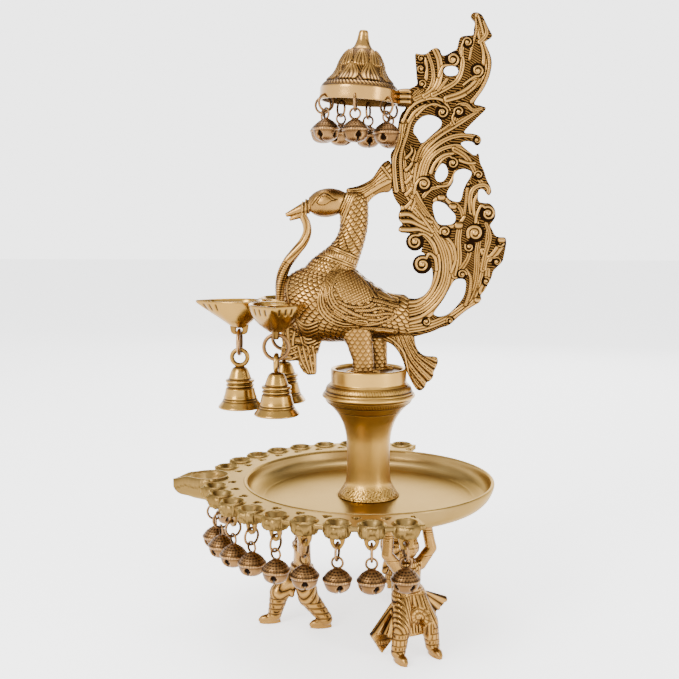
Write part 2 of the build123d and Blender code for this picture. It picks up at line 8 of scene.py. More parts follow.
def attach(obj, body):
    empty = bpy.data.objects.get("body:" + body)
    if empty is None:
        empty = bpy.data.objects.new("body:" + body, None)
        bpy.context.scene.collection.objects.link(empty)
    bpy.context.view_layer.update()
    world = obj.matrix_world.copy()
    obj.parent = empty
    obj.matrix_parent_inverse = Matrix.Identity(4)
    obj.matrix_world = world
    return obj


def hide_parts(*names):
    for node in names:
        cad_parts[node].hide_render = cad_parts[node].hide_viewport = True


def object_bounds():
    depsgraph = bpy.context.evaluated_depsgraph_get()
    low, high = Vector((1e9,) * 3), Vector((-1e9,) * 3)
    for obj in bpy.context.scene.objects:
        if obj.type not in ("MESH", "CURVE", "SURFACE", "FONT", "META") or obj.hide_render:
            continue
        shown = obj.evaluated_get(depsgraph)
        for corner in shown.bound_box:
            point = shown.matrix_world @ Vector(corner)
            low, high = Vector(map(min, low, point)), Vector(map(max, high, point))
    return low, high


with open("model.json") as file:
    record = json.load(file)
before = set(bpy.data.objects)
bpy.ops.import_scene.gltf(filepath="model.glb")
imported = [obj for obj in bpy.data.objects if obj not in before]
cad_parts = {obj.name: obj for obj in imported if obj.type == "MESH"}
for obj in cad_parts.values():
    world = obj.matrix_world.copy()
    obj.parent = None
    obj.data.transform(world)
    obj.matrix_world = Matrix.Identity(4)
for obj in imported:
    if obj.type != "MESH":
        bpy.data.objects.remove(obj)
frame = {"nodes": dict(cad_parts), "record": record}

CAD_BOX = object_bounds()
AX = 24.9                      # the pedestal's axis from the frame's origin, mm
MM = 0.001
ROOT = "lamp"
sin, cos, pi = math.sin, math.cos, math.pi


def rad(d):
    return d * pi / 180


# ------------------------------------------------------------------ materials
def add_node(tree, kind, values, *links, operation=None):
    """New shader node: `values` go on its sockets, and `links` are (output, socket) pairs that feed it."""
    n = tree.nodes.new("ShaderNode" + kind)
    if operation:
        n.operation = operation
    for socket, value in values.items():
        n.inputs[socket].default_value = value
    for output, socket in links:
        tree.links.new(output, n.inputs[socket])
    return n


def add_ramp(tree, source, *stops):
    """Colour ramp fed by `source`; each stop is (position, colour), the two ends first."""
    n = add_node(tree, "ValToRGB", {}, (source, "Fac"))
    for k, (at, colour) in enumerate(stops):
        stop = n.color_ramp.elements[k] if k < 2 else n.color_ramp.elements.new(at)
        stop.position, stop.color = at, (*colour, 1)
    return n


def brass(name, high, mid, low, rough=(0.30, 0.52), bump=0.12, grain=900.0, spots=0.35, blotch=0.3,
          scuffs=0.16, plain=False):
    """Metal whose colour runs from `low` in the chased recesses to `high` on the worn ridges, following the
    relief attribute: dark patina in the hollows, and painted shade where that attribute also darkens creases,
    inner faces, undersides and openings.
    """
    m = bpy.data.materials.new(name)
    m.use_nodes = True
    tree = m.node_tree
    link = tree.links.new
    p = tree.nodes["Principled BSDF"]
    p.inputs["Metallic"].default_value = 1.0
    place = add_node(tree, "TexCoord", {}).outputs["Object"]
    big = add_node(tree, "TexNoise", {"Scale": 38.0, "Detail": 5.0, "Roughness": 0.62}, (place, "Vector"))
    fine = add_node(tree, "TexNoise", {"Scale": grain, "Detail": 4.0}, (place, "Vector"))
    # the relief attribute, broken up a little by noise
    minus = add_node(tree, "Math", {0: 0.8, 1: spots * 0.5}, operation="SUBTRACT")
    if not plain:
        relief = add_node(tree, "Attribute", {})
        relief.attribute_name = "relief"
        link(relief.outputs["Fac"], minus.inputs[0])
    shift = add_node(tree, "Math", {1: spots}, (big.outputs["Fac"], 0), (minus.outputs[0], 2),
                     operation="MULTIPLY_ADD")
    ramp = add_ramp(tree, shift.outputs[0], (0.16, low), (0.92, high), (0.50, mid))
    tone = add_ramp(tree, big.outputs["Fac"], (0.32, (0.74, 0.66, 0.52)), (0.66, (1, 1, 1)))
    tint = add_node(tree, "MixRGB", {"Fac": blotch}, (ramp.outputs["Color"], "Color1"),
                    (tone.outputs["Color"], "Color2"))
    tint.blend_type = "MULTIPLY"
    link(tint.outputs["Color"], p.inputs["Base Color"])
    r = add_node(tree, "MapRange", {"From Min": 0.1, "From Max": 0.85, "To Min": rough[1],
                                    "To Max": rough[0]}, (shift.outputs[0], "Value"))
    down = add_node(tree, "Math", {1: scuffs * 0.5}, (r.outputs["Result"], 0), operation="SUBTRACT")
    scuff = add_node(tree, "Math", {1: scuffs}, (fine.outputs["Fac"], 0), (down.outputs[0], 2),
                     operation="MULTIPLY_ADD")
    link(scuff.outputs[0], p.inputs["Roughness"])
    b = add_node(tree, "Bump", {"Strength": bump, "Distance": 0.0004}, (fine.outputs["Fac"], "Height"))
    link(b.outputs["Normal"], p.inputs["Normal"])
    return m


CAST = brass("cast_brass", (0.37, 0.205, 0.056), (0.170, 0.083, 0.020), (0.008, 0.0035, 0.0014),
             rough=(0.22, 0.55), spots=0.30)
SATIN = brass("satin_brass", (0.33, 0.187, 0.043), (0.19, 0.099, 0.021), (0.014, 0.006, 0.002),
              rough=(0.24, 0.44), bump=0.02, spots=0.08, blotch=0.14, scuffs=0.04)
SHAFT = brass("shaft_brass", (0.47, 0.275, 0.064), (0.29, 0.155, 0.032), (0.016, 0.007, 0.002),
              rough=(0.32, 0.46), bump=0.03, spots=0.08, blotch=0.14, scuffs=0.05)
TRAY = brass("tray_brass", (0.26, 0.168, 0.056), (0.155, 0.092, 0.027), (0.014, 0.006, 0.002),
             rough=(0.33, 0.44), bump=0.03, spots=0.12, blotch=0.35, scuffs=0.05)
TRAY.node_tree.nodes["Principled BSDF"].inputs["Specular Tint"].default_value = (0.90, 0.76, 0.54, 1)
BROWN = brass("aged_brass", (0.33, 0.182, 0.070), (0.150, 0.076, 0.027), (0.007, 0.0034, 0.0016),
              rough=(0.28, 0.55), bump=0.15, spots=0.40)
STEEL = brass("plain_steel", (0.46, 0.44, 0.40), (0.4, 0.38, 0.35), (0.1, 0.1, 0.1), plain=True)
TURNED = brass("turned_brass", (0.37, 0.205, 0.042), (0.22, 0.113, 0.022), (0.014, 0.006, 0.002),
               rough=(0.24, 0.44), bump=0.05, spots=0.12, plain=True)
slots = {s["node"]: s["material_slot"] for s in frame["record"]["subparts"]}
for name, o in frame["nodes"].items():
    o.data.materials.clear()
    o.data.materials.append(STEEL if slots[name] == "steel" else TURNED)

# ------------------------------------------------------------------ camera, light and floor
def new_object(name, data):
    o = bpy.data.objects.new(name, data)
    bpy.context.scene.collection.objects.link(o)
    return o


def aim(o, direction):
    o.rotation_euler = Vector(direction).to_track_quat("-Z", "Y").to_euler()


cam = bpy.data.cameras.new("camera")
cam.sensor_width = 36
cam.lens = 53.9
cam.clip_start = 0.05
camera = new_object("camera", cam)
camera.location = ((AX + 13.7) * MM, -0.7602, 0.3143)
aim(camera, (-0.0467, 0.9912, -0.1243))
bpy.context.scene.camera = camera

floor_mat = bpy.data.materials.new("floor")
floor_mat.use_nodes = True
fp = floor_mat.node_tree.nodes["Principled BSDF"]
fp.inputs["Base Color"].default_value = (0.97, 0.97, 0.97, 1)
fp.inputs["Emission Color"].default_value = (1, 1, 1, 1)
fp.inputs["Emission Strength"].default_value = 1.5
fp.inputs["Roughness"].default_value = 0.7
me = bpy.data.meshes.new("floor")
FLOOR_HALF = 6.0
me.from_pydata([(a * FLOOR_HALF, b * FLOOR_HALF, 0) for a, b in ((-1, -1), (1, -1), (1, 1), (-1, 1))], [],
               [(0, 1, 2, 3)])
floor = new_object("floor", me)
floor.location.z = min(0.0, CAD_BOX[0][2]) - 0.0002
floor.data.materials.append(floor_mat)


def panel(name, at, to, w, h, power):
    """White area light at `at`, turned towards `to`."""
    light = bpy.data.lights.new(name, "AREA")
    light.shape, light.size, light.size_y, light.energy = "RECTANGLE", w, h, power
    o = new_object(name, light)
    o.location = at
    aim(o, Vector(to) - Vector(at))


panel("key", (-0.9, -1.1, 1.1), (0, 0, 0.22), 0.6, 0.7, 30)
panel("fill", (1.3, -0.9, 0.6), (0, 0, 0.2), 0.35, 1.1, 12)
panel("top", (0, 0.2, 1.5), (0, 0, 0.2), 0.9, 0.7, 14)
panel("back", (0.3, 1.5, 0.7), (0, 0, 0.25), 1.4, 0.7, 12)
sun = bpy.data.lights.new("sky", "SUN")
sun.energy = 3.0
sun.angle = rad(120)
new_object("sky", sun).rotation_euler = (rad(12), rad(-8), 0)
world = bpy.data.worlds.new("world")
bpy.context.scene.world = world
world.use_nodes = True
wn = world.node_tree
bg = wn.nodes["Background"]
bg.inputs["Strength"].default_value = 3.6
# white below and ahead, dark overhead, so that the metal has something to mirror
sep = add_node(wn, "SeparateXYZ", {}, (add_node(wn, "TexCoord", {}).outputs["Generated"], 0))
height = add_node(wn, "Math", {1: 0.5, 2: 0.5}, (sep.outputs["Z"], 0), operation="MULTIPLY_ADD")
shade = add_ramp(wn, height.outputs[0], (0.62, (1, 1, 1)), (0.74, (0.07, 0.07, 0.075)))
wn.links.new(shade.outputs["Color"], bg.inputs["Color"])

# ------------------------------------------------------------------ mesh helpers: lamp coordinates, mm
def chased_mesh(name, v, faces, relief, mat):
    """Smooth-shaded mesh with the brightness of its relief on every vertex."""
    me = bpy.data.meshes.new(name)
    me.from_pydata((np.asarray(v, float) * MM).tolist(), [], [tuple(int(i) for i in f) for f in faces])
    me.validate()
    me.update()
    a = me.attributes.new("relief", "FLOAT", "POINT")
    a.data.foreach_set("value", np.clip(np.asarray(relief, np.float32), 0, 1))
    me.polygons.foreach_set("use_smooth", [True] * len(me.polygons))
    if mat:
        me.materials.append(mat)
    return me


def mesh_object(name, v, faces, node_names=(), mat=None, body=ROOT, relief=None):
    o = new_object(name, chased_mesh(name, np.asarray(v, float) + [AX, 0, 0], faces, relief, mat))
    if body:
        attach(o, body)
    if node_names:
        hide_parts(*node_names)
    return o


def smooth_line(p, step=1.0, closed=False):
    """Catmull-Rom line through points, sampled about every `step` mm."""
    p = np.asarray(p, float)
    n = len(p)
    out = []
    spans = n if closed else n - 1
    for i in range(spans):
        a, b, c, d = (p[(i + k) % n] if closed else p[min(max(i + k, 0), n - 1)] for k in (-1, 0, 1, 2))
        m = max(2, int(np.linalg.norm(c - b) / step))
        t = np.linspace(0, 1, m, endpoint=False)[:, None]
        out.append(0.5 * (2 * b + (c - a) * t + (2 * a - 5 * b + 4 * c - d) * t ** 2
                          + (3 * b - a - 3 * c + d) * t ** 3))
    if not closed:
        out.append(p[-1:])
    return np.vstack(out)


def soften(loop, times=2):
    """Corner-cut a closed polygon so that its edges read as carved, not faceted."""
    p = np.asarray(loop, float)
    for _ in range(times):
        q = np.roll(p, -1, axis=0)
        p = np.stack([0.78 * p + 0.22 * q, 0.22 * p + 0.78 * q], axis=1).reshape(-1, 2)
    return p


def loop_distance(loop, X, Z):
    """Signed distance in the plane to a closed loop, positive inside."""
    best = np.full(X.shape, 1e9)
    inside = np.zeros(X.shape, bool)
    q = np.roll(loop, -1, axis=0)
    for (x0, z0), (x1, z1) in zip(loop, q):
        dx, dz = x1 - x0, z1 - z0
        l2 = dx * dx + dz * dz + 1e-12
        t = np.clip(((X - x0) * dx + (Z - z0) * dz) / l2, 0, 1)
        best = np.minimum(best, (X - x0 - t * dx) ** 2 + (Z - z0 - t * dz) ** 2)
        if abs(dz) > 1e-9:
            inside ^= ((z0 > Z) != (z1 > Z)) & (X < x0 + (Z - z0) * dx / dz)
    d = np.sqrt(best)
    return np.where(inside, d, -d)


def step_up(x, a, b):
    t = np.clip((x - a) / (b - a), 0, 1)
    return t * t * (3 - 2 * t)


class Relief:
    """Chased relief on a plane grid: strokes are laid one over another, each with its own profile."""

    def __init__(self, x0, x1, z0, z1, step):
        self.xs, self.zs, self.step = np.arange(x0, x1, step), np.arange(z0, z1, step), step
        self.X, self.Z = np.meshgrid(self.xs, self.zs, indexing="ij")
        self.H = np.zeros(self.X.shape)
        self.C = np.full(self.X.shape, 0.45)
        self.phi = np.full(self.X.shape, -9.0)

    def window(self, pts, grow):
        lo, hi = pts.min(0) - grow, pts.max(0) + grow
        i = slice(*np.searchsorted(self.xs, (lo[0], hi[0])))
        j = slice(*np.searchsorted(self.zs, (lo[1], hi[1])))
        return i, j

    def add_shape(self, loop):
        i, j = self.window(loop, 9)
        self.phi[i, j] = np.maximum(self.phi[i, j], loop_distance(loop, self.X[i, j], self.Z[i, j]))

    def cut_shape(self, loop):
        i, j = self.window(loop, 9)
        self.phi[i, j] = np.minimum(self.phi[i, j], -loop_distance(loop, self.X[i, j], self.Z[i, j]))

    def stroke(self, pts, w, w_end=None, ribs=1, rise=0.5, hatch=0.0, pitch=1.3, slant=0.8, grow=False,
               tip=0.0, smooth=True, bulge=0.0):
        """Band of half-width w (to w_end) along pts, its profile divided into `ribs` ridges."""
        p = smooth_line(pts, 0.6) if smooth else np.asarray(pts, float)
        w_end = w if w_end is None else w_end
        seg = np.linalg.norm(np.diff(p, axis=0), axis=1)
        s = np.concatenate([[0], np.cumsum(seg)])
        f = s / s[-1]
        half = w + (w_end - w) * f + bulge * np.sin(pi * f)
        if tip:
            half = half * np.clip((1 - f) / tip, 0.05, 1) ** 0.6
        i, j = self.window(p, max(w, w_end) + bulge + 1)
        X, Z = self.X[i, j], self.Z[i, j]
        if X.size == 0:
            return
        tan = np.gradient(p, axis=0)
        tan /= np.linalg.norm(tan, axis=1)[:, None] + 1e-9
        best = np.full(X.shape, 1e9)
        k = np.zeros(X.shape, int)
        for a in range(len(p)):
            d2 = (X - p[a, 0]) ** 2 + (Z - p[a, 1]) ** 2
            m = d2 < best
            best[m] = d2[m]
            k[m] = a
        d = np.sqrt(best)
        side = tan[k, 0] * (Z - p[k, 1]) - tan[k, 1] * (X - p[k, 0])
        along = s[k] + tan[k, 0] * (X - p[k, 0]) + tan[k, 1] * (Z - p[k, 1])
        hw = half[k]
        u = np.clip(d / hw, 0, 2)
        on = u < 1
        signed = np.sign(side) * u
        ridge = np.abs(np.sin(pi * ribs * (signed + 1) / 2)) if ribs > 0 else np.ones_like(u)
        dome = np.sqrt(np.clip(1 - u ** 2, 0, 1))
        h = rise * (0.35 + 0.65 * dome) * (0.25 + 0.75 * ridge ** 0.7) - 0.25 * rise * step_up(u, 0.86, 1.0)
        c = 0.06 + 0.94 * np.clip(ridge, 0, 1) ** 1.15 * (0.55 + 0.45 * dome)
        c *= 1 - 0.94 * step_up(d, hw - np.maximum(0.24 * hw, 0.5), hw)
        if hatch:
            cut = 0.5 + 0.5 * np.cos(2 * pi * (along + slant * side) / pitch)
            h = h - hatch * rise * cut ** 2
            c = c * (1 - 0.75 * hatch * cut ** 2)
        H, C = self.H[i, j], self.C[i, j]
        H[on], C[on] = h[on], c[on]
        if grow:
            self.phi[i, j] = np.maximum(self.phi[i, j], hw - d)

    def curl(self, x, z, r, start, turns=1.6, sense=1, w=None, lead=(), w0=None, rise=0.7, grow=False,
             ribs=1):
        """Volute: a band that may come in along `lead` and winds to its centre, with a bead there."""
        w = w or r * 0.24
        a = rad(start) + sense * np.linspace(0, 2 * pi * turns, int(26 * turns))
        q = np.linspace(0, 1, len(a))
        rr = (r - w) * (1 - 0.86 * q)
        sp = np.stack([x + rr * np.cos(a), z + rr * np.sin(a)], axis=1)
        i, j = self.window(np.array([[x, z]]), r)
        d = np.hypot(self.X[i, j] - x, self.Z[i, j] - z)
        m = d < r * 0.98
        self.H[i, j][m] = -0.2
        self.C[i, j][m] = 0.10
        if grow:
            self.phi[i, j] = np.maximum(self.phi[i, j], r - d)
        pts = np.vstack([smooth_line(list(lead) + [tuple(sp[0])], 0.6)[:-1], sp]) if len(lead) else sp
        self.stroke(pts, w0 or w, w * 0.62, ribs=ribs, rise=rise, smooth=False)
        m = d < r * 0.26
        self.H[i, j][m] = rise * 1.1 * np.sqrt(np.clip(1 - (d[m] / (r * 0.26)) ** 2, 0, 1)) + 0.15
        self.C[i, j][m] = 0.95 - 0.5 * step_up(d[m] / (r * 0.26), 0.7, 1)

    def trace(self, layers, at_rim):
        """Cells where phi > 0, cut along its edge: columns of x, z and the layers, then faces and rim edges.
        `at_rim` gives the layers' values on the cut, from the nearest inside cell."""
        phi = self.phi
        ins = phi > 0
        idx = -np.ones(phi.shape, int)
        idx[ins] = np.arange(ins.sum())
        cols = [g[ins].tolist() for g in (self.X, self.Z, *layers)]
        cross = {}

        def crossing(a, b):
            key = (a, b) if a < b else (b, a)
            if key not in cross:
                p, q = key
                t = min(max(phi[p] / (phi[p] - phi[q]), 0.04), 0.96)
                cross[key] = len(cols[0])
                values = [g[p] + t * (g[q] - g[p]) for g in (self.X, self.Z)] + at_rim(p if ins[p] else q)
                for col, value in zip(cols, values):
                    col.append(value)
            return cross[key]

        full = ins[:-1, :-1] & ins[1:, :-1] & ins[1:, 1:] & ins[:-1, 1:]
        fi, fj = np.nonzero(full)
        faces = np.stack([idx[fi, fj], idx[fi + 1, fj], idx[fi + 1, fj + 1], idx[fi, fj + 1]], 1).tolist()
        some = (ins[:-1, :-1] | ins[1:, :-1] | ins[1:, 1:] | ins[:-1, 1:]) & ~full
        rim = []
        for i, j in zip(*np.nonzero(some)):
            ring = [(i, j), (i + 1, j), (i + 1, j + 1), (i, j + 1)]
            state = [ins[c] for c in ring]
            if sum(state) == 2 and state[0] == state[2]:
                for c in range(4):
                    if state[c]:
                        a = crossing(ring[c - 1], ring[c])
                        b = crossing(ring[c], ring[(c + 1) % 4])
                        faces.append([a, idx[ring[c]], b])
                        rim.append((b, a))
                continue
            poly, tags = [], []
            for c in range(4):
                if state[c]:
                    poly.append(idx[ring[c]])
                    tags.append(0)
                if state[c] != state[(c + 1) % 4]:
                    poly.append(crossing(ring[c], ring[(c + 1) % 4]))
                    tags.append(1)
            faces.append(poly)
            for c in range(len(poly)):
                if tags[c] and tags[(c + 1) % len(poly)]:
                    rim.append((poly[c], poly[(c + 1) % len(poly)]))
        return [np.array(c) for c in cols], faces, rim

    def plate(self, half, edge, round_over):
        """Two-sided upright plate, raised by the relief and with rounded edges, as a part."""
        over = np.sqrt(np.clip(1 - (1 - np.clip(self.phi / round_over, 0, 1)) ** 2, 0, 1))
        hgt = edge + (half + self.H - edge) * over
        (px, pz, hh, cc), faces, rim = self.trace((hgt, self.C), lambda near: [edge, 0.22])
        n = len(px)
        v = np.vstack([np.stack([px, -hh, pz], 1), np.stack([px, hh, pz], 1)])
        faces = faces + [[k + n for k in reversed(f)] for f in faces] + [[b, b + n, a + n, a] for a, b in rim]
        return v, faces, np.concatenate([cc, cc])


def carve(relief, name, node, half, edge, round_over):
    v, f, c = relief.plate(half, edge, round_over)
    mesh_object(name, v, f, (node,), CAST, relief=c)


def circle(x, z, r, n):
    a = np.linspace(0, 2 * pi, n, endpoint=False)
    return np.stack([x + r * np.cos(a), z + r * np.sin(a)], 1)


# ------------------------------------------------------------------ tail: scrolling stems, volutes and leaves
STEP = 0.42
tail = Relief(12, 106, 214, 462, STEP)
outline = [(23, 251), (30, 250.4), (36, 250), (42, 253), (46, 259), (47.5, 266), (47, 272), (46, 274),
           (41, 284), (38, 285), (41, 291), (39, 297), (27, 299), (24, 299), (21.2, 300.6), (22.4, 304),
           (25, 305), (21.6, 308.6), (21.5, 313), (23, 316), (22.6, 319), (20, 322), (17, 328), (16, 335),
           (16, 350), (15, 357), (20, 363), (20, 372), (22, 385), (27, 390), (27, 403), (35, 406), (34, 412),
           (33.5, 420), (32.4, 429), (36, 428), (41, 428), (44, 431), (48, 432.8), (51, 431), (52, 427),
           (55, 427), (60, 430), (63, 431), (64, 436), (65, 440), (70, 441), (75, 441), (75, 446), (76, 450),
           (73, 453), (72.4, 455), (74.4, 457.2), (78, 457), (81, 455), (83, 451), (86, 445), (89, 440),
           (84, 437), (83, 436), (86, 430), (88, 425), (88.5, 420), (87, 412), (83, 403), (77, 395),
           (76, 392), (80, 391.6), (86, 389.5), (79, 383), (70, 374), (69, 371.6), (75, 371.4), (80, 370),
           (82, 367), (80.6, 363), (77.5, 362.6), (75.6, 365.4), (70, 366), (66, 364), (72, 359), (77, 355),
           (80, 358), (81, 350), (84, 345), (86, 338), (89, 333), (90, 329), (88, 326), (86, 328), (84, 331),
           (81, 331), (80, 329), (80, 322), (84, 321), (89, 321), (93, 316), (93, 310), (89, 305), (90, 303),
           (93, 297), (96, 296), (101, 296), (101.5, 291), (100, 283), (99, 278), (95, 274), (92, 271),
           (91, 266), (88, 260), (85, 255), (83, 253), (84, 250), (82, 247), (78, 245), (72, 241), (66, 236),
           (60, 230), (54, 228.5), (48, 225.5), (40, 223), (34, 221.5), (24, 221.5)]
tail.add_shape(soften(outline))
for x, z, r in ((34, 292.5, 6.8), (39.5, 275.8, 7.2)):
    tail.add_shape(circle(x, z, r, 40))
HOLES = (((64, 265), (71, 265), (72.5, 261), (71, 252), (66, 245), (59, 238), (52, 236.5), (48, 238.5),
          (50, 242), (56, 250), (60, 258)), ((47, 321), (50, 322.4), (56, 320.6), (59, 317), (64, 312),
                                             (63.5, 307), (60, 305), (52, 305), (49, 309), (47, 316)),
         ((57.6, 330), (57, 326), (60, 323), (66, 321.5), (68, 324), (69, 330), (71, 335), (75, 341),
          (75, 344), (70, 346), (65, 345), (62, 342), (62, 336)), ((48, 340), (49, 344), (53, 350),
                                                                   (56, 349), (58, 344), (57, 340),
                                                                   (54, 336.5), (50, 336.5)),
         ((32, 372), (33, 378), (38, 383.6), (44, 385), (50, 383), (53, 380), (52, 376), (45, 370),
          (38, 363.5), (35, 369)), ((53.4, 416), (55, 419), (59, 419.8), (63, 419), (64.6, 416), (63, 413),
                                    (59, 412.3), (55, 413)))
for hole in HOLES:
    tail.cut_shape(soften(hole))
# ground: close hatching that runs with the plate
tail.H[:] = -0.35
w = np.cos(2 * pi * (tail.X * 0.35 + tail.Z * 0.94 + 1.2 * np.sin(tail.X * 0.25)) / 1.7)
tail.H += 0.22 * w
tail.C[:] = 0.26 + 0.30 * w
S, Q = tail.stroke, tail.curl
# outer and lower stems
S([(26, 227), (40, 229), (54, 234), (66, 241), (76, 250), (81, 262), (84, 276), (87, 290), (88, 303)], 3.4,
  2.0, 3, 0.6)
S([(60, 232), (70, 240), (78, 246), (83, 250)], 2.4, 1.8, 2, 0.5)
S([(74, 250), (78, 260), (79.6, 272), (80, 286), (82, 298)], 2.6, 2.2, 3, 0.5, hatch=0.6)
S([(72, 246), (75, 256), (75.4, 266), (72, 272)], 1.9, 1.6, 1, 0.5, hatch=0.8, slant=0)
S([(84, 256), (87, 264), (88, 272)], 3.4, 2.0, 2, 0.5, hatch=0.5)
S([(84, 286), (88, 280), (93, 284), (97, 290)], 2.6, 3.4, 2, 0.6)
S([(84, 272), (86, 284), (89, 296), (86, 306)], 2.2, 1.6, 2, 0.55, hatch=0.6)
# main stem: a bundle of ribs from the bird's back up to the crown
S([(24, 232), (40, 236), (52, 246), (59, 258), (61.5, 272), (60, 286), (52, 300), (42, 314), (34, 328),
   (30, 342)], 3.3, 2.4, 2, 0.75)
S([(24, 239), (38, 242), (48, 250), (55, 262), (56.6, 276), (53, 290), (45, 303), (35, 318), (28, 332),
   (25, 350), (24, 366), (27, 380)], 3.2, 2.2, 3, 0.8)
S([(24, 246.4), (36, 247), (44.6, 254), (50, 266), (51, 278), (47.6, 290), (40, 299)], 3.3, 2.2, 2, 0.85)
S([(24, 252), (19, 262)], 0.5, 0.4, 1, 0.2)
S([(64, 268), (66, 280), (65.6, 294), (67, 304)], 3.4, 2.4, 3, 0.6)
S([(68, 272), (73, 280), (75, 288)], 2.2, 1.8, 2, 0.5, hatch=0.7)
S([(57, 296), (62, 290), (64, 280), (61, 270)], 1.6, 1.4, 1, 0.5)
# fingers of the leaf that points at the bird
for zt, zb in ((301.5, 301), (307.5, 304), (312.6, 307), (317.4, 310.5)):
    S([(46, zb - 3.5), (38, zb + 0.5), (30, zt), (22.6, zt)], 1.9, 2.3, 1, 0.75)
S([(47, 300), (38, 312), (30, 322), (23.4, 333)], 1.5, 1.2, 1, 0.6)
S([(44, 312), (36, 322), (30, 332)], 1.7, 1.4, 2, 0.55, hatch=0.5)
S([(20, 330), (18.4, 342), (18.4, 354), (22, 366), (24, 380), (29, 390)], 2.0, 1.8, 2, 0.7)
S([(25, 330), (23.4, 342), (23, 356), (27, 370), (30, 380), (36, 389)], 1.9, 1.8, 1, 0.7, hatch=0.6, slant=0)
for zc in (322, 331, 340, 349, 358):
    S([(27, zc - 4), (31, zc + 1), (28.5, zc + 7)], 1.9, 0.9, 1, 0.6, tip=0.5)
    S([(31.5, zc - 6), (33.5, zc), (32, zc + 5)], 1.5, 0.9, 1, 0.55, tip=0.5)
S([(34, 336), (36, 350), (42, 362), (52, 371), (62, 377), (72, 383), (83, 389.6)], 2.6, 2.2, 2, 0.8, tip=0.25)
S([(34, 352), (38, 362), (46, 369), (56, 376), (68, 384)], 1.7, 1.3, 1, 0.6, hatch=0.8, slant=0)
S([(36, 338), (40, 352), (48, 362), (58, 368), (68, 370), (77, 368.6)], 2.4, 1.8, 2, 0.8)
S([(40, 340), (44, 352), (51, 359), (59, 362), (66, 362), (73, 358), (79, 356)], 2.0, 1.6, 2, 0.7, tip=0.2)
S([(45, 343), (48, 350), (54, 355.6), (61, 357)], 1.9, 1.5, 1, 0.75)
S([(62, 360), (70, 355), (75, 348), (79, 340), (84, 334)], 2.4, 1.8, 2, 0.6, hatch=0.5)
S([(66, 352), (72, 350), (77, 350)], 1.7, 1.4, 1, 0.6)
S([(74, 340), (72, 332), (71, 322), (70, 312)], 1.6, 1.6, 1, 0.55, hatch=0.8, slant=0)
S([(86.6, 327.6), (87.4, 331.5), (84, 334), (78.5, 333), (75, 329), (74, 322), (75, 314)], 1.7, 2.0, 2, 0.7)
S([(80, 328), (77, 322), (77, 314), (80, 306)], 1.6, 1.6, 1, 0.6)
S([(59, 317.4), (62, 321), (67, 317), (69, 311)], 2.0, 1.7, 2, 0.6, hatch=0.5)
S([(48, 322.5), (52, 325.4), (57, 323.5), (60, 319.6), (63, 316)], 2.1, 2.0, 1, 0.85)
S([(40, 326), (45, 331), (52, 333), (59, 336)], 1.8, 1.4, 2, 0.6)
S([(57, 303), (66, 306), (70, 311)], 2.4, 1.6, 1, 0.8)
S([(63, 344), (60.6, 338), (57.6, 334), (50, 333)], 1.6, 1.4, 1, 0.6)
# arch under the crown and the crown's own leaves
S([(24, 380), (29, 389), (36, 394.4), (46, 396.6), (54, 394.4), (58, 388)], 1.8, 1.6, 1, 0.8)
S([(28, 380), (33, 387), (40, 391.2), (48, 391.6), (54, 388)], 1.7, 1.3, 1, 0.7)
S([(60, 378), (62, 384), (64, 391), (70, 392), (75, 388), (81, 389)], 1.9, 1.5, 2, 0.6, hatch=0.4)
S([(30, 396), (34, 400), (38, 403)], 2.6, 2.0, 3, 0.5, hatch=0.8, slant=0)
S([(33, 396), (42, 401), (46, 410), (45, 420), (42, 428)], 2.0, 1.6, 2, 0.6, hatch=0.4)
S([(40, 398), (48, 404), (51, 414), (50, 424), (47, 431)], 2.4, 2.6, 2, 0.7)
S([(38, 404), (41, 412), (40, 424), (34.6, 427.6)], 1.9, 1.6, 1, 0.6)
S([(46, 399), (56, 404), (64, 410), (67, 420), (66, 430), (69, 438)], 2.2, 2.0, 2, 0.7)
S([(50, 402), (56, 410)], 1.6, 1.6, 1, 0.5, hatch=0.8)
S([(56, 396), (68, 400), (78, 408), (83, 419), (83, 430), (79, 442), (77, 454.4)], 3.1, 2.0, 2, 0.95,
  bulge=0.8)
S([(74, 394), (81, 403), (85.6, 414), (86, 424), (83, 434), (81, 444), (78, 454)], 2.0, 1.4, 1, 0.9,
  hatch=0.6)
S([(72, 424), (74, 434), (76.6, 444), (76, 452)], 1.5, 1.2, 1, 0.6, hatch=0.8, slant=0)
S([(70, 408), (74, 410), (79, 411)], 1.5, 1.5, 1, 0.6)
S([(71, 400), (76, 404), (80, 410)], 1.3, 1.3, 1, 0.5, hatch=0.8)
S([(79, 436), (84, 442), (82, 450)], 1.8, 1.2, 2, 0.6)
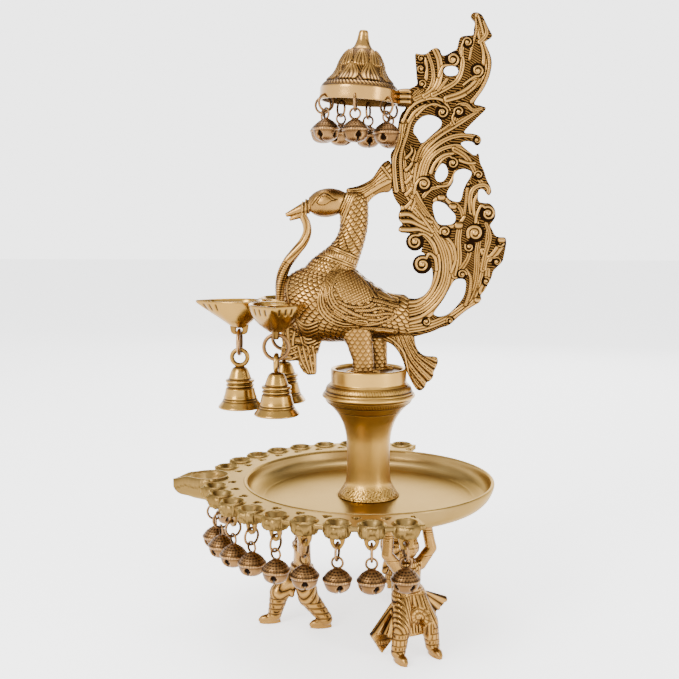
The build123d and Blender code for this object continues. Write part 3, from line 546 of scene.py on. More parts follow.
# volutes, laid last
for x, z, r, start, sense, turns, lead in (
        (34, 292.5, 6.8, 70, 1, 1.7, ((50, 284), (47, 292), (41, 298))),
        (39.5, 275.8, 7.2, 60, 1, 1.7, ((50, 272), (49, 280), (45, 284))),
        (53, 386.5, 5.6, 100, -1, 1.5, ((34, 384), (41, 390.5), (47, 392.5))),
        (65, 387, 4.8, 200, -1, 1.4, ((62, 378), (60, 382))),
        (60, 424, 6.2, 250, 1, 1.6, ((50, 412), (53, 419))),
        (37, 417.5, 3.8, 300, -1, 1.4, ()), (38, 407, 3.8, 300, 1, 1.4, ()), (37, 425, 3.2, 40, 1, 1.3, ()),
        (70.5, 436, 4.4, 180, -1, 1.5, ((66, 426), (66, 432))),
        (78, 416, 5.6, 250, 1, 1.7, ((68, 406), (73, 410))),
        (78.6, 366.6, 3.6, 90, -1, 1.3, ()), (61, 350, 5.0, 100, -1, 1.6, ((49, 345), (53, 352), (58, 355))),
        (40, 335, 6.2, 150, -1, 1.8, ((33, 328), (34, 334))),
        (80, 341.5, 4.0, 180, -1, 1.5, ()), (72.6, 335, 2.8, 0, 1, 1.3, ()),
        (87.4, 313.4, 6.6, 120, -1, 1.6, ((78, 304), (79, 312), (82, 319))),
        (56, 300, 5.0, 200, -1, 1.6, ()), (78, 299, 7.4, 210, -1, 1.9, ()),
        (74, 288.8, 4.4, 150, 1, 1.4, ()), (97, 292.4, 4.2, 240, 1, 1.3, ()), (69, 268.6, 4.2, 0, 1, 1.5, ()),
        (94.6, 278, 4.2, 120, -1, 1.3, ((86, 272), (88, 280))), (87, 263.4, 3.8, 100, -1, 1.4, ()),
        (43, 233, 3.8, 60, -1, 1.4, ()), (60.6, 234, 3.4, 200, -1, 1.3, ())):
    Q(x, z, r, start, turns, sense, lead=lead)
for x, z, r in ((53, 325, 2.6), (61.4, 318.4, 2.6), (66, 304.6, 3.0), (81, 249.4, 2.4), (97.6, 294, 2.6)):
    S([(x - 1, z), (x + 1, z)], r, r, 1, 0.9)
tail.H *= 1.5
carve(tail, "tail_scroll_chased", "tail_scroll", 2.4, 1.3, 1.5)

# ------------------------------------------------------------------ fan of feathers
fan = Relief(4, 56, 176, 230, STEP)
fan.add_shape(soften([(6, 226), (10, 219), (18, 215.4), (23, 209), (25.8, 203), (27.4, 197.6), (30, 192),
                      (33, 186), (36, 181.4), (39, 180.2), (42.4, 182.6), (43.6, 187), (46, 187.6),
                      (48.8, 191), (49, 195.4), (50.8, 198.4), (52.4, 203), (51.4, 206.6), (42, 206.8),
                      (37.4, 210.4), (35, 215.4), (34, 226)]))
for tip, root in (((39, 184), (18, 222)), ((42, 186), (21, 222)), ((45.6, 190), (24, 222)),
                  ((47.6, 195), (27, 222)), ((49.4, 200), (29.5, 222)), ((50, 204.6), (32, 222))):
    mid = (0.52 * root[0] + 0.48 * tip[0] - 1.6, 0.52 * root[1] + 0.48 * tip[1] - 2.6)
    fan.stroke([root, mid, tip], 1.5, 2.9, 1, 1.0)
    fan.stroke([root, mid, tip], 0.35, 0.45, 1, 1.25)
fan.stroke([(9, 223), (18, 219), (26, 210), (28.6, 200), (31, 190), (36, 182.6)], 1.2, 1.4, 1, 0.9)
fan.H *= 1.3
carve(fan, "fan_feathers", "fan_tail", 2.5, 1.2, 1.6)

# ------------------------------------------------------------------ turned and cast pieces
def lathe(profile, segs, relief=None):
    """Turned surface from a profile of (radius, height), outside going up. relief(theta, radius, height)
    gives how far the surface stands proud and how bright it is."""
    p = np.asarray(profile, float)
    t = np.gradient(p, axis=0)
    nrm = np.stack([t[:, 1], -t[:, 0]], 1) / (np.linalg.norm(t, axis=1)[:, None] + 1e-9)
    th = np.linspace(0, 2 * pi, segs, endpoint=False)
    TH, R = np.meshgrid(th, p[:, 0])
    Zs = np.repeat(p[:, 1][:, None], segs, 1)
    proud, c = relief(TH, R, Zs) if relief else (np.zeros_like(R), np.full_like(R, 0.8))
    ends = p[:, 0] < 1e-6
    Rr = R + proud * nrm[:, :1]
    Zz = Zs + proud * nrm[:, 1:]
    V = np.stack([Rr * np.cos(TH), Rr * np.sin(TH), Zz], -1)
    v, cc, start, rows = [], [], [], []
    for k in range(len(p)):
        start.append(len(v))
        if ends[k]:
            v.append((0, 0, Zz[k, 0]))
            cc.append(float(c[k].mean()))
            rows.append(1)
        else:
            v.extend(V[k].tolist())
            cc.extend(c[k].tolist())
            rows.append(segs)
    f = []
    for k in range(len(p) - 1):
        a, b = start[k], start[k + 1]
        for i in range(segs):
            j = (i + 1) % segs
            if rows[k] == 1 and rows[k + 1] == 1:
                break
            if rows[k] == 1:
                f.append((a, b + j, b + i))
            elif rows[k + 1] == 1:
                f.append((a + i, a + j, b))
            else:
                f.append((a + i, a + j, b + j, b + i))
    return np.array(v), f, np.array(cc)


def turned(points, step, segs, relief=None, order=1):
    """Lathe over a smoothed profile that starts and ends on the axis; order -1 takes it from the far end."""
    p = smooth_line(points, step)[::order]
    p[:, 0] = np.clip(p[:, 0], 0, None)
    p[0, 0] = p[-1, 0] = 0
    return lathe(p, segs, relief)


def torus(big, small, n=48, m=16, wobble=0.0):
    """Ring in the xz plane."""
    a = np.linspace(0, 2 * pi, n, endpoint=False)
    b = np.linspace(0, 2 * pi, m, endpoint=False)
    A, B = np.meshgrid(a, b, indexing="ij")
    r = big + small * np.cos(B) * (1 + wobble * np.sin(3 * A))
    v = np.stack([r * np.cos(A), small * np.sin(B), r * np.sin(A)], -1).reshape(-1, 3)
    f = [(i * m + j, i * m + (j + 1) % m, ((i + 1) % n) * m + (j + 1) % m, ((i + 1) % n) * m + j)
         for i in range(n) for j in range(m)]
    # painted shade: the ring is lighter on its outer face and darker on the inner face towards the hole
    c = (0.55 + 0.35 * np.cos(B)).reshape(-1)
    return v, f, np.clip(c, 0, 1)


def together(*parts):
    """Joins parts, each a (vertices, faces, brightness) triple."""
    V, F, C, base = [], [], [], 0
    for v, f, c in parts:
        V.append(np.asarray(v, float))
        F += [tuple(k + base for k in q) for q in f]
        C.append(np.asarray(c, float))
        base += len(v)
    return np.vstack(V), F, np.concatenate(C)


def spin(part, turn=0.0, at=(0, 0, 0), tip=None):
    """Turns a part about z, tips it with a matrix if given, and moves it."""
    v, f, c = part
    s, k = sin(rad(turn)), cos(rad(turn))
    m = np.array([[k, -s, 0], [s, k, 0], [0, 0, 1]])
    v = np.asarray(v) @ m.T
    if tip is not None:
        v = v @ np.asarray(tip).T
    return v + np.asarray(at, float), f, c


def weave(th, s, n, pitch):
    """Rope-like slanting hatch round a band."""
    return 0.5 + 0.5 * np.cos(th * n + 2 * pi * s / pitch)


# pedestal
def pedestal_relief(th, r, z):
    d, c = np.zeros_like(r), np.full_like(r, 0.80)
    low = (z > 99.4) & (z < 109.5) & (r > 16)
    dots = np.cos(th * 46 + 5 * np.cos(z * 1.1)) * np.cos(z * 2.7 + 2.2 * np.sin(th * 9))
    hit = low & (dots > 0.35)
    fade = step_up(109.5 - z, 0, 3)
    d = np.where(hit, -0.35 * fade, d)
    c = np.where(hit, 0.80 - 0.62 * fade, c)
    for z0, z1 in ((170.4, 174.2), (181.2, 184.6)):
        on = (z > z0) & (z < z1) & (r > 27)
        u = np.clip((z - z0) / (z1 - z0), 0, 1)
        w = weave(th, z, 96, 5.0)
        d = np.where(on, 0.5 * np.sin(pi * u) - 0.35 * w ** 2 * np.sin(pi * u), d)
        c = np.where(on, 0.25 + 0.65 * (1 - w ** 1.5) * np.sin(pi * u), c)
    for z0 in (165.1, 170.2, 175.0, 179.2, 180.9, 185.3):
        g = np.exp(-((z - z0) / 0.38) ** 2) * (r > 20)
        d = d - 0.35 * g
        c = c * (1 - 0.85 * g)
    return d, c


PED = [(0, 99.1), (21.8, 99.1), (22.6, 99.8), (22.4, 101.2), (20.6, 104), (18.6, 107.4), (17.2, 111),
       (16.5, 118), (16.3, 128), (16.5, 138), (17.0, 145), (18.2, 151), (20.2, 157), (22.8, 161.8),
       (25.0, 165), (27.6, 168), (29.9, 170.3), (31.6, 172.4), (33.4, 174.6), (35.2, 176.8), (34.3, 178.8),
       (33.0, 180.9), (31.8, 182.8), (30.8, 184.9), (29.3, 186.4), (28.6, 187.2), (28.6, 190), (28.6, 196.4),
       (28.2, 197.3), (27.4, 197.6), (26.2, 197.4), (25.5, 196.6), (25.4, 194), (25.2, 191.6), (12, 191.5),
       (0, 191.5)]
SEG = 240
v, f, c = turned(PED, 0.45, SEG, pedestal_relief)
mesh_object("pedestal_cast", v, f, ("pedestal",), SHAFT, relief=c)


# hanging rings and small round bells
def ghungroo_relief(th, r, z):
    d, c = np.zeros_like(r), np.full_like(r, 0.55)
    dome = (z > 1.3) & (z < 7.4)
    k = np.zeros_like(r)
    for row, (at, many) in enumerate(((2.1, 26), (3.5, 22), (4.9, 18), (6.2, 12))):
        step = np.sin(many * th / 2 + row * pi / 2) * 2 * r / many
        k = np.maximum(k, np.exp(-((step / 0.62) ** 2 + ((z - at) / 0.50) ** 2)))
    d = np.where(dome, 0.15 - 0.45 * k, d)
    c = np.where(dome, 0.74 - 0.74 * k, c)
    lip = (np.abs(z - 0.1) < 1.0) & (r > 9.1)
    bead = 0.5 + 0.5 * np.cos(th * 40)
    c = np.where(lip, 0.45 + 0.55 * bead, c)
    g = np.exp(-((z - 1.35) / 0.3) ** 2) + np.exp(-((z + 1.25) / 0.3) ** 2)
    c = c * (1 - 0.85 * np.clip(g, 0, 1))
    low = z < -1.2
    for q in range(2):
        a = th - rad(25 + 90 * q)
        side = np.sin(a) * r
        hole = low & ((side ** 2 + (z + 3.9) ** 2) < 2.5 ** 2)
        slit = low & (np.abs(side) < 0.65) & (z < -3.5)
        both = hole if q else (hole | slit)
        rim = low & ((side ** 2 + (z + 3.9) ** 2) < 3.1 ** 2) & ~hole
        c = np.where(rim, 0.85, c)
        # painted shade: the slit and holes are dents painted near black for the shaded hollow inside the bell
        d = np.where(both, -2.0, d)
        c = np.where(both, 0.0, c)
    return d, c


G = [(0, 8.0), (1.6, 7.7), (4.2, 6.3), (6.9, 4.3), (8.6, 2.3), (9.25, 1.2), (9.9, 0.75), (10.0, 0.15),
     (9.8, -0.5), (9.25, -0.95), (9.1, -2.4), (8.5, -4.6), (7.2, -6.6), (4.8, -8.1), (2.2, -8.7), (0, -8.85)]
small_bell = turned(G, 0.5, 72, ghungroo_relief, -1)
RR, RW = 5.85, 0.9
ring_z = -RR
loop_z = ring_z - RR + RW + 0.95 - 3.7
bell_z = loop_z - 3.7 - 7.6
ring_part = torus(RR, RW, 44, 12)
loop_part = spin(torus(3.7, 0.8, 36, 12), 90)
pendant = together((ring_part[0] + [0, 0, ring_z], ring_part[1], ring_part[2] * 0.8),
                   (loop_part[0] + [0, 0, loop_z], loop_part[1], loop_part[2] * 0.8),
                   (small_bell[0] + [0, 0, bell_z], small_bell[1], small_bell[2]))


def placed(name, part_mesh, at, turn, node):
    """Object sharing a mesh, stood at a point of the lamp and turned about the vertical."""
    o = new_object(name, part_mesh)
    o.matrix_world = Matrix.Translation(((AX + at[0]) * MM, at[1] * MM,
                                         at[2] * MM)) @ Matrix.Rotation(rad(turn), 4, "Z")
    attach(o, node)
    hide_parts(node)


pendant_mesh = chased_mesh("ghungroo", *pendant, BROWN)
CUP_CIRCLE, FIRST_CUP, CUP_PITCH = 117, 14.5, 11.1     # radius in mm, then angles in degrees from the tip
turns = [180 + s * (FIRST_CUP + k * CUP_PITCH) for s in (1, -1) for k in range(9)]


def cup_at(turn):
    return CUP_CIRCLE * cos(rad(turn)), CUP_CIRCLE * sin(rad(turn))


for k, turn in enumerate(turns, 1):
    node = f"tray_ghungroo_{'near' if k <= 9 else 'far'}_{(k - 1) % 9 + 1}"
    placed("pendant_" + node, pendant_mesh, (*cup_at(turn), 99.0), turn, node)
TILT = rad(4)
CANOPY_X, CANOPY_Z, CANOPY_R = -8, 394, 29


def rim_point(turn, inward, up):
    a, b = (CANOPY_R - inward) * cos(rad(turn)), (CANOPY_R - inward) * sin(rad(turn))
    return CANOPY_X + a * cos(TILT) + up * sin(TILT), b, CANOPY_Z - a * sin(TILT) + up * cos(TILT)


for k, turn in enumerate((33, 77, 121, 165, 213, 266, 317), 1):
    node = f"canopy_ghungroo_{k}"
    placed("pendant_" + node, pendant_mesh, rim_point(turn, 1.2, 2.9), turn, node)


# canopy with two rows of petals
def petals(th, v, n, off):
    """Row of heart-shaped leaves: how far inside one a point is, and how bright its nested ribs are."""
    u = ((th * n / (2 * pi) + off) % 1.0) * 2 - 1
    wide = np.sqrt(np.clip(1 - ((v - 0.40) / 0.60) ** 2, 0.0004,
                           1)) * np.where(v > 0.4, 1 - 0.35 * (v - 0.4), 1) * 0.93
    q = np.abs(u) / wide
    # nested curved ribs that meet at the leaf's root
    ribs = np.abs(np.cos((q + 0.35 * v) * pi * 2.6))
    return 1 - q, ribs


def canopy_relief(th, r, z):
    d, c = np.zeros_like(r), np.full_like(r, 0.86)
    for z0, z1, n, off in ((24.6, 37.0, 8, 0.5), (13.6, 26.6, 8, 0.0)):
        v = (z - z0) / (z1 - z0)
        on = (v > 0) & (v < 1)
        e, ribs = petals(th, v, n, off)
        inn = on & (e > 0)
        edge = np.exp(-((e - 0.10) / 0.08) ** 2)
        bright = np.maximum(ribs ** 1.3, edge)
        d = np.where(inn, 0.35 + 0.95 * np.sqrt(np.clip(e * 2, 0, 1)) * (0.35 + 0.65 * bright), d)
        c = np.where(inn, 0.06 + 0.92 * bright * np.clip(e * 9, 0, 1), c)
        gap = on & (e <= 0) & (e > -9)
        hatch = 0.5 + 0.5 * np.cos(th * 64 + z * 2.0)
        bare = gap & ((z < 24.6) | (z > 26.6))
        c = np.where(bare, 0.10 + 0.45 * hatch ** 1.5, c)
        d = np.where(bare, -0.25 + 0.2 * hatch, d)
    cord = (z > 10.3) & (z < 13.2) & (r > 21)
    w = weave(th, z, 60, 3.4)
    d = np.where(cord, 0.35 - 0.45 * w, d)
    c = np.where(cord, 0.92 - 0.86 * w, c)
    for z0 in (9.9, 13.4, 37.3):
        g = np.exp(-((z - z0) / 0.34) ** 2) * (r > 5)
        c = c * (1 - 0.9 * g)
        d = d - 0.2 * g
    return d, c


outer = smooth_line([(27.2, 0.0), (28.6, -0.1), (29, 0.6), (29, 5), (28.9, 9.2), (27.8, 10.4), (26.9, 11.6),
                     (25.6, 12.8), (23.2, 14.9), (20.6, 17.6), (18.4, 21), (16.8, 25), (15.0, 29.4),
                     (12.8, 33.2), (10.6, 35.8), (8.4, 37.6), (6.4, 40), (5.0, 43.2), (4.1, 47), (3.5, 50.2),
                     (2.4, 51.4), (0, 51.6)], 0.45)
inner = smooth_line([(0, 36), (8, 34), (12.4, 27), (15.4, 20), (20, 14.4), (24.6, 10), (26.6, 8.4), (26.8, 4),
                     (27.2, 0.0)], 1.2)
outer[-1, 0] = 0
inner[0, 0] = 0
vo, fo, co = lathe(outer, SEG, canopy_relief)
vi, fi, ci = lathe(inner, 96, None)
tip = [[cos(TILT), 0, sin(TILT)], [0, 1, 0], [-sin(TILT), 0, cos(TILT)]]
# painted shade: the inside of the canopy is darkened to 0.45 of its plain brightness
canopy_part = spin(together((vo, fo, co), (vi, fi, ci * 0.45)), 0, (CANOPY_X, 0, CANOPY_Z), tip)
mesh_object("canopy_chased", *canopy_part[:2], ("canopy",), CAST, relief=canopy_part[2])

# ------------------------------------------------------------------ sculpted pieces
def ellipsoid(c, r, n=20, m=12, aim=None):
    """Closed ellipsoid; `aim` is a 3x3 matrix whose columns are its axes."""
    th = np.linspace(0, 2 * pi, n, endpoint=False)
    ph = np.linspace(0, pi, m + 1)[1:-1]
    v = [(0, 0, 1)] + [(sin(p) * cos(t), sin(p) * sin(t), cos(p)) for p in ph for t in th] + [(0, 0, -1)]
    f = [(0, 1 + i, 1 + (i + 1) % n) for i in range(n)]
    for k in range(len(ph) - 1):
        a, b = 1 + k * n, 1 + (k + 1) * n
        f += [(a + i, b + i, b + (i + 1) % n, a + (i + 1) % n) for i in range(n)]
    a, last = 1 + (len(ph) - 1) * n, len(v) - 1
    f += [(a + i, last, a + (i + 1) % n) for i in range(n)]
    v = np.array(v) * np.asarray(r, float)
    if aim is not None:
        v = v @ np.asarray(aim).T
    return v + np.asarray(c, float), f


def tube(path, radius, n=20, flat=1.0):
    """Closed tube along a smooth path; radius may vary along it."""
    p = np.asarray(path, float)
    r = np.broadcast_to(np.asarray(radius, float), (len(p),))
    t = np.gradient(p, axis=0)
    t /= np.linalg.norm(t, axis=1)[:, None] + 1e-9
    side = np.cross(t, [0, 1, 0])
    side /= np.linalg.norm(side, axis=1)[:, None] + 1e-9
    up = np.cross(side, t)
    a = np.linspace(0, 2 * pi, n, endpoint=False)
    v = (p[:, None] + r[:, None, None] * (np.cos(a)[None, :, None] * side[:, None]
                                          + flat * np.sin(a)[None, :, None] * up[:, None])).reshape(-1, 3)
    k = len(p)
    f = [(i * n + j, i * n + (j + 1) % n, (i + 1) * n + (j + 1) % n, (i + 1) * n + j)
         for i in range(k - 1) for j in range(n)]
    v = np.vstack([v, p[0], p[-1]])
    f += [(j, k * n, (j + 1) % n) for j in range(n)] + [((k - 1) * n + j, (k - 1) * n + (j + 1) % n, k * n
                                                         + 1) for j in range(n)]
    return v, f


def capsule(a, b, ra, rb, n=18):
    a, b = np.asarray(a, float), np.asarray(b, float)
    t = np.linspace(0, 1, 9)[:, None]
    body = tube(a + (b - a) * t, ra + (rb - ra) * t[:, 0], n)
    return [body, ellipsoid(a, (ra, ra, ra)), ellipsoid(b, (rb, rb, rb))]


def sculpt(nodes, extra=(), voxel=0.5, relax=3):
    """Even, closed mesh round the CAD bodies of `nodes` and the extra closed forms, gently smoothed."""
    V, F, base = [], [], 0
    for name in nodes:
        o = frame["nodes"][name]
        m = o.matrix_world
        v = np.array([(m @ q.co)[:] for q in o.data.vertices]) / MM - [AX, 0, 0]
        V.append(v)
        F += [tuple(k + base for k in p.vertices) for p in o.data.polygons]
        base += len(v)
    for v, f in extra:
        V.append(np.asarray(v, float))
        F += [tuple(k + base for k in p) for p in f]
        base += len(v)
    me = bpy.data.meshes.new("clay")
    me.from_pydata(np.vstack(V).tolist(), [], F)
    me.update()
    o = new_object("clay", me)
    mod = o.modifiers.new("remesh", "REMESH")
    mod.mode = "VOXEL"
    mod.voxel_size = voxel * 1.0
    mod.adaptivity = 0
    deps = bpy.context.evaluated_depsgraph_get()
    ev = o.evaluated_get(deps)
    out = ev.to_mesh()
    n, k = len(out.vertices), len(out.polygons)
    v = np.empty(n * 3)
    out.vertices.foreach_get("co", v)
    v = v.reshape(-1, 3)
    e = np.empty(len(out.edges) * 2, np.int32)
    out.edges.foreach_get("vertices", e)
    e = e.reshape(-1, 2)
    f = [tuple(p.vertices) for p in out.polygons]
    ev.to_mesh_clear()
    bpy.data.objects.remove(o)
    bpy.data.meshes.remove(me)
    for q in range(2 * relax):
        v = v + (0.5 if q % 2 == 0 else -0.42) * (spread(v, e) - v)
    return v, f, e, facing(v, f)


def spread(v, e):
    """Mean of each vertex's neighbours."""
    s, c = np.zeros_like(v), np.zeros(len(v))
    np.add.at(s, e[:, 0], v[e[:, 1]])
    np.add.at(s, e[:, 1], v[e[:, 0]])
    np.add.at(c, e.reshape(-1), 1)
    return s / np.maximum(c, 1)[:, None]


def facing(v, f):
    q = np.array([p if len(p) == 4 else p + (p[-1],) for p in f])
    n = np.cross(v[q[:, 2]] - v[q[:, 0]], v[q[:, 3]] - v[q[:, 1]])
    out = np.zeros_like(v)
    for k in range(4):
        np.add.at(out, q[:, k], n)
    return out / (np.linalg.norm(out, axis=1)[:, None] + 1e-12)


def scales(t, s, w, h):
    """Overlapping round-ended scales; t runs across them and s down them. Gives height and brightness; the
    brightness holds painted shade, lighter at each scale's lifted edge and darker away from it, and a painted
    shadow line just below the edge of the scale that covers it.
    """
    R = 0.56 * w
    k = np.floor(s / h)

    def inside(row):
        across = ((t / w - 0.5 * (row % 2) + 0.5) % 1.0 - 0.5) * w
        return R - np.hypot(across, (s - row * h) * R / (1.62 * h))

    d0, d1 = inside(k - 1), inside(k)
    over = d0 > 0
    u = np.clip(np.where(over, d0, d1 + 0.5 * R) / R, 0, 1.4)
    # painted shade: each scale is brightest at its lifted edge and darker away from it
    H, C = 0.40 - 0.30 * u, 0.98 - 0.34 * u
    # painted shadow: a dark line on the lower scale just below the covering scale's edge; a fainter line runs
    # along that edge itself
    line = np.where(over, np.exp(-(d0 / 0.16) ** 2) * 0.3, np.exp(-(d0 / 0.42) ** 2))
    return H - 0.42 * line, C * (1 - 0.96 * line)


class Painted(Relief):
    """Relief drawn on the side view of a body; cells that no stroke has touched keep brightness -1."""

    def __init__(self, *a):
        super().__init__(*a)
        self.C[:] = -1

    def groove(self, pts, w=0.45, depth=0.45):
        p = smooth_line(pts, 0.3)
        i, j = self.window(p, 3 * w)
        X, Z = self.X[i, j], self.Z[i, j]
        d2 = np.full(X.shape, 1e9)
        for a in p:
            d2 = np.minimum(d2, (X - a[0]) ** 2 + (Z - a[1]) ** 2)
        g = np.exp(-d2 / w ** 2)
        c = self.C[i, j]
        self.H[i, j] -= depth * g
        m = g > 0.15
        c[m] = np.where(c[m] < 0, 0.85, c[m]) * (1 - 0.95 * g[m])

    def at(self, x, z):
        i = np.clip(np.rint((x - self.xs[0]) / self.step).astype(int), 0, len(self.xs) - 1)
        j = np.clip(np.rint((z - self.zs[0]) / self.step).astype(int), 0, len(self.zs) - 1)
        return self.H[i, j], self.C[i, j]

# ------------------------------------------------------------------ tray
class Slab(Relief):
    """Relief grid seen from above: separate top and bottom heights, filled where phi > 0."""

    def fill(self, top, bottom, shine, wall=0.6):
        (px, py, zt, zb, cc), faces, rim = self.trace((top, bottom, shine),
                                                      lambda near: [top[near], bottom[near], wall])
        n = len(px)
        V = np.vstack([np.stack([px, py, zt], 1), np.stack([px, py, np.minimum(zb, zt - 0.3)], 1)])
        F = faces + [[k + n for k in reversed(f)] for f in faces] + [[a, a + n, b + n, b] for a, b in rim]
        return V, F, np.concatenate([cc, np.full(n, 0.55)])


def tear(x, y, turn, reach, r, blunt=0.0):
    """Teardrop loop seen from above: round bowl with a drawn-out point."""
    a = np.linspace(rad(62), rad(298), 40)
    pts = [(r * cos(t), r * sin(t)) for t in a]
    tip = [(reach * 0.66, -r * 0.40), (reach - 2.4, -1.5 - blunt), (reach, 0), (reach - 2.4, 1.5 + blunt),
           (reach * 0.66, r * 0.40)]
    s, k = sin(rad(turn)), cos(rad(turn))
    p = smooth_line(pts + tip, 0.8, closed=True)
    return np.stack([x + p[:, 0] * k - p[:, 1] * s, y + p[:, 0] * s + p[:, 1] * k], 1)


TS = 0.62
tray = Slab(-156, 44, -130, 130, TS)
X, Y = tray.X, tray.Z
rr, az = np.hypot(X, Y), np.degrees(np.arctan2(Y, X)) % 360
sector = np.minimum(np.minimum(rr - 92.6, 121.6 - rr), (109 - np.abs(az - 180)) * rr * rad(1))
tray.phi = sector
FLANGE_TOP, FLANGE_UNDER = 112.0, 108.2
top = np.full(X.shape, FLANGE_TOP)
bottom = np.full(X.shape, FLANGE_UNDER)
shine = np.full(X.shape, 0.76)
groove = np.exp(-((rr - 94.2) / 0.5) ** 2)
top -= 0.35 * groove
shine -= 0.45 * groove
for turn in turns:
    cx, cy = cup_at(turn)
    dx, dy = X - cx, Y - cy
    d = np.hypot(dx, dy)
    a = np.arctan2(dy, dx) - rad(turn)
    scallop = 9.3 + 0.35 * np.cos(8 * a)
    # small outward nib on each cup's lip
    nib = 1.2 * np.exp(-(((a + pi) % (2 * pi) - pi) / 0.35) ** 2)
    tray.phi = np.maximum(tray.phi, scallop + nib - d)
    lip = d < 9.6
    top = np.where(lip, np.maximum(top, FLANGE_TOP + 1.35 * np.exp(-((d - 8.0) / 0.75) ** 2)), top)
    bowl = d < 7.3
    facets = 0.22 * np.cos(7 * a + d * 0.5)
    top = np.where(bowl, 112.9 - 6.4 * (1 - (d / 7.3) ** 1.7) + facets * (d / 7.3) * (1 - (d / 7.3)), top)
    shine = np.where(bowl, 0.62 + 0.30 * np.cos(3 * a + 1.1 * turn), shine)
    shine = np.where(d < 1.8, 0.25, shine)
    ring = np.exp(-((d - 9.3) / 0.4) ** 2)
    shine = shine - 0.5 * ring * (rr < 121)
    bottom = np.where(lip, np.minimum(bottom, 103.7 + 0.25 * np.cos(16 * a) + 3.0 * step_up(d, 8.2, 9.8)),
                      bottom)
for q in range(10):
    for s in (1, -1):
        turn = 180 + s * (FIRST_CUP + (q - 0.5) * CUP_PITCH)
        for w in range(3):
            hx = 103.6 * cos(rad(turn)) + 1.75 * cos(rad(turn + 120 * w))
            hy = 103.6 * sin(rad(turn)) + 1.75 * sin(rad(turn + 120 * w))
            d = np.hypot(X - hx, Y - hy)
            top = np.where(d < 1.55,
                           np.minimum(top, FLANGE_TOP - 1.2 * np.sqrt(np.clip(1 - (d / 1.55) ** 2, 0, 1))),
                           top)
            shine = np.where(d < 1.55, np.minimum(shine, 0.30), shine)
tip_loop = tear(-122, 0, 180, 29.2, 14.8)
ph = loop_distance(tip_loop, X, Y)
tray.phi = np.maximum(tray.phi, ph)
near = ph > 0
sag = -3.6 * step_up(-X, 138, 151)
q = np.clip(ph / 14.0, 0, 1)
top = np.where(near, 113.4 + sag, top)
bowl = ph > 2.0
qb = np.clip((ph - 2.0) / 11.5, 0, 1)
top = np.where(bowl, 112.9 + sag - 12.5 * np.sqrt(np.clip(1 - (1 - qb) ** 2, 0, 1)), top)
shine = np.where(bowl, 0.7 + 0.2 * np.sin(X * 0.35 + Y * 0.2), shine)
bottom = np.where(near, np.minimum(bottom, 109.4 + sag - 16.0 * np.sqrt(np.clip(1 - (1 - q) ** 2, 0, 1))),
                  bottom)
v, f, c = tray.fill(top, bottom, shine)
mesh_object("tray_flange", v, f, ("tray",), TRAY, relief=c)
DISH = [(0, 95.5), (60, 95.5), (80, 95.6), (86, 97.0), (90.6, 100.4), (93.6, 104.6), (95.3, 109),
        (95.7, 111.2), (95.2, 112.3), (94.2, 112.5), (93.2, 112.1), (92.6, 110.4), (91.6, 106.6),
        (89.4, 103.2), (86, 100.9), (81, 99.4), (75, 98.95), (50, 98.9), (24, 98.9), (0, 98.9)]


def dish_relief(th, r, z):
    c = np.full_like(r, 0.86)
    c = c - 0.10 * np.exp(-((r - 84) / 3.0) ** 2) - 0.28 * np.exp(-((r - 23.6) / 0.9) ** 2) * (z > 97)
    return 0.03 * np.sin(r * 2.2), c


v, f, c = turned(DISH, 1.0, SEG, dish_relief)
mesh_object("tray_dish", v, f, ("tray",), TRAY, relief=c)
lug = Relief(-7, 7, 93, 106, 0.3)
lug.add_shape(soften([(-5.4, 105), (-5.2, 101), (-4.4, 98), (-2.6, 95.2), (0, 94.3), (2.6, 95.2), (4.4, 98),
                      (5.2, 101), (5.4, 105)], 1))
lug.cut_shape(circle(0, 99.5, 2.2, 28))
lug.C[:] = 0.5
v, f, c = lug.plate(1.15, 0.75, 0.8)
parts = [spin((v, f, np.full(len(v), 0.5)), turn + 90, (*cup_at(turn), 0)) for turn in turns]
v, f, c = together(*parts)
mesh_object("tray_lugs", v, f, ("tray",), SATIN, relief=c)

# ------------------------------------------------------------------ lamp with three spouts
# centre x and y, the way the spout points, its reach and the bowl's radius
SPOUTS = {"left": (-98, 0, 180, 33.0, 17.0), "front": (-67, -28, -90, 31.0, 20.0),
          "rear": (-67, 28, 90, 31.0, 20.0)}


def spout_shape(reach, r):
    """Polar outline of a spouted bowl, its point towards angle 0: (angles, radii)."""
    a = np.linspace(rad(74), rad(286), 40)
    pts = [(r * cos(t) - 0.4, r * sin(t)) for t in a]
    pts += [(r * 0.66, -r * 0.86), (reach * 0.62, -r * 0.62), (reach * 0.80, -r * 0.34), (reach - 1.6, -1.6),
            (reach, 0), (reach - 1.6, 1.6), (reach * 0.80, r * 0.34), (reach * 0.62, r * 0.62),
            (r * 0.66, r * 0.86)]
    q = smooth_line(pts, 0.5, closed=True)
    ang, rr = np.arctan2(q[:, 1], q[:, 0]), np.hypot(q[:, 0], q[:, 1])
    o = np.argsort(ang)
    return ang[o], rr[o]


def blur_round(R0, th, spread):
    """The polar outline R0 averaged round the circle with a bell curve `spread` radians wide."""
    kernel = np.exp(-0.5 * (th / spread) ** 2)
    kernel = np.roll(kernel / kernel.sum(), -int(np.argmin(np.abs(th))))
    return np.real(np.fft.ifft(np.fft.fft(R0) * np.fft.fft(kernel)))


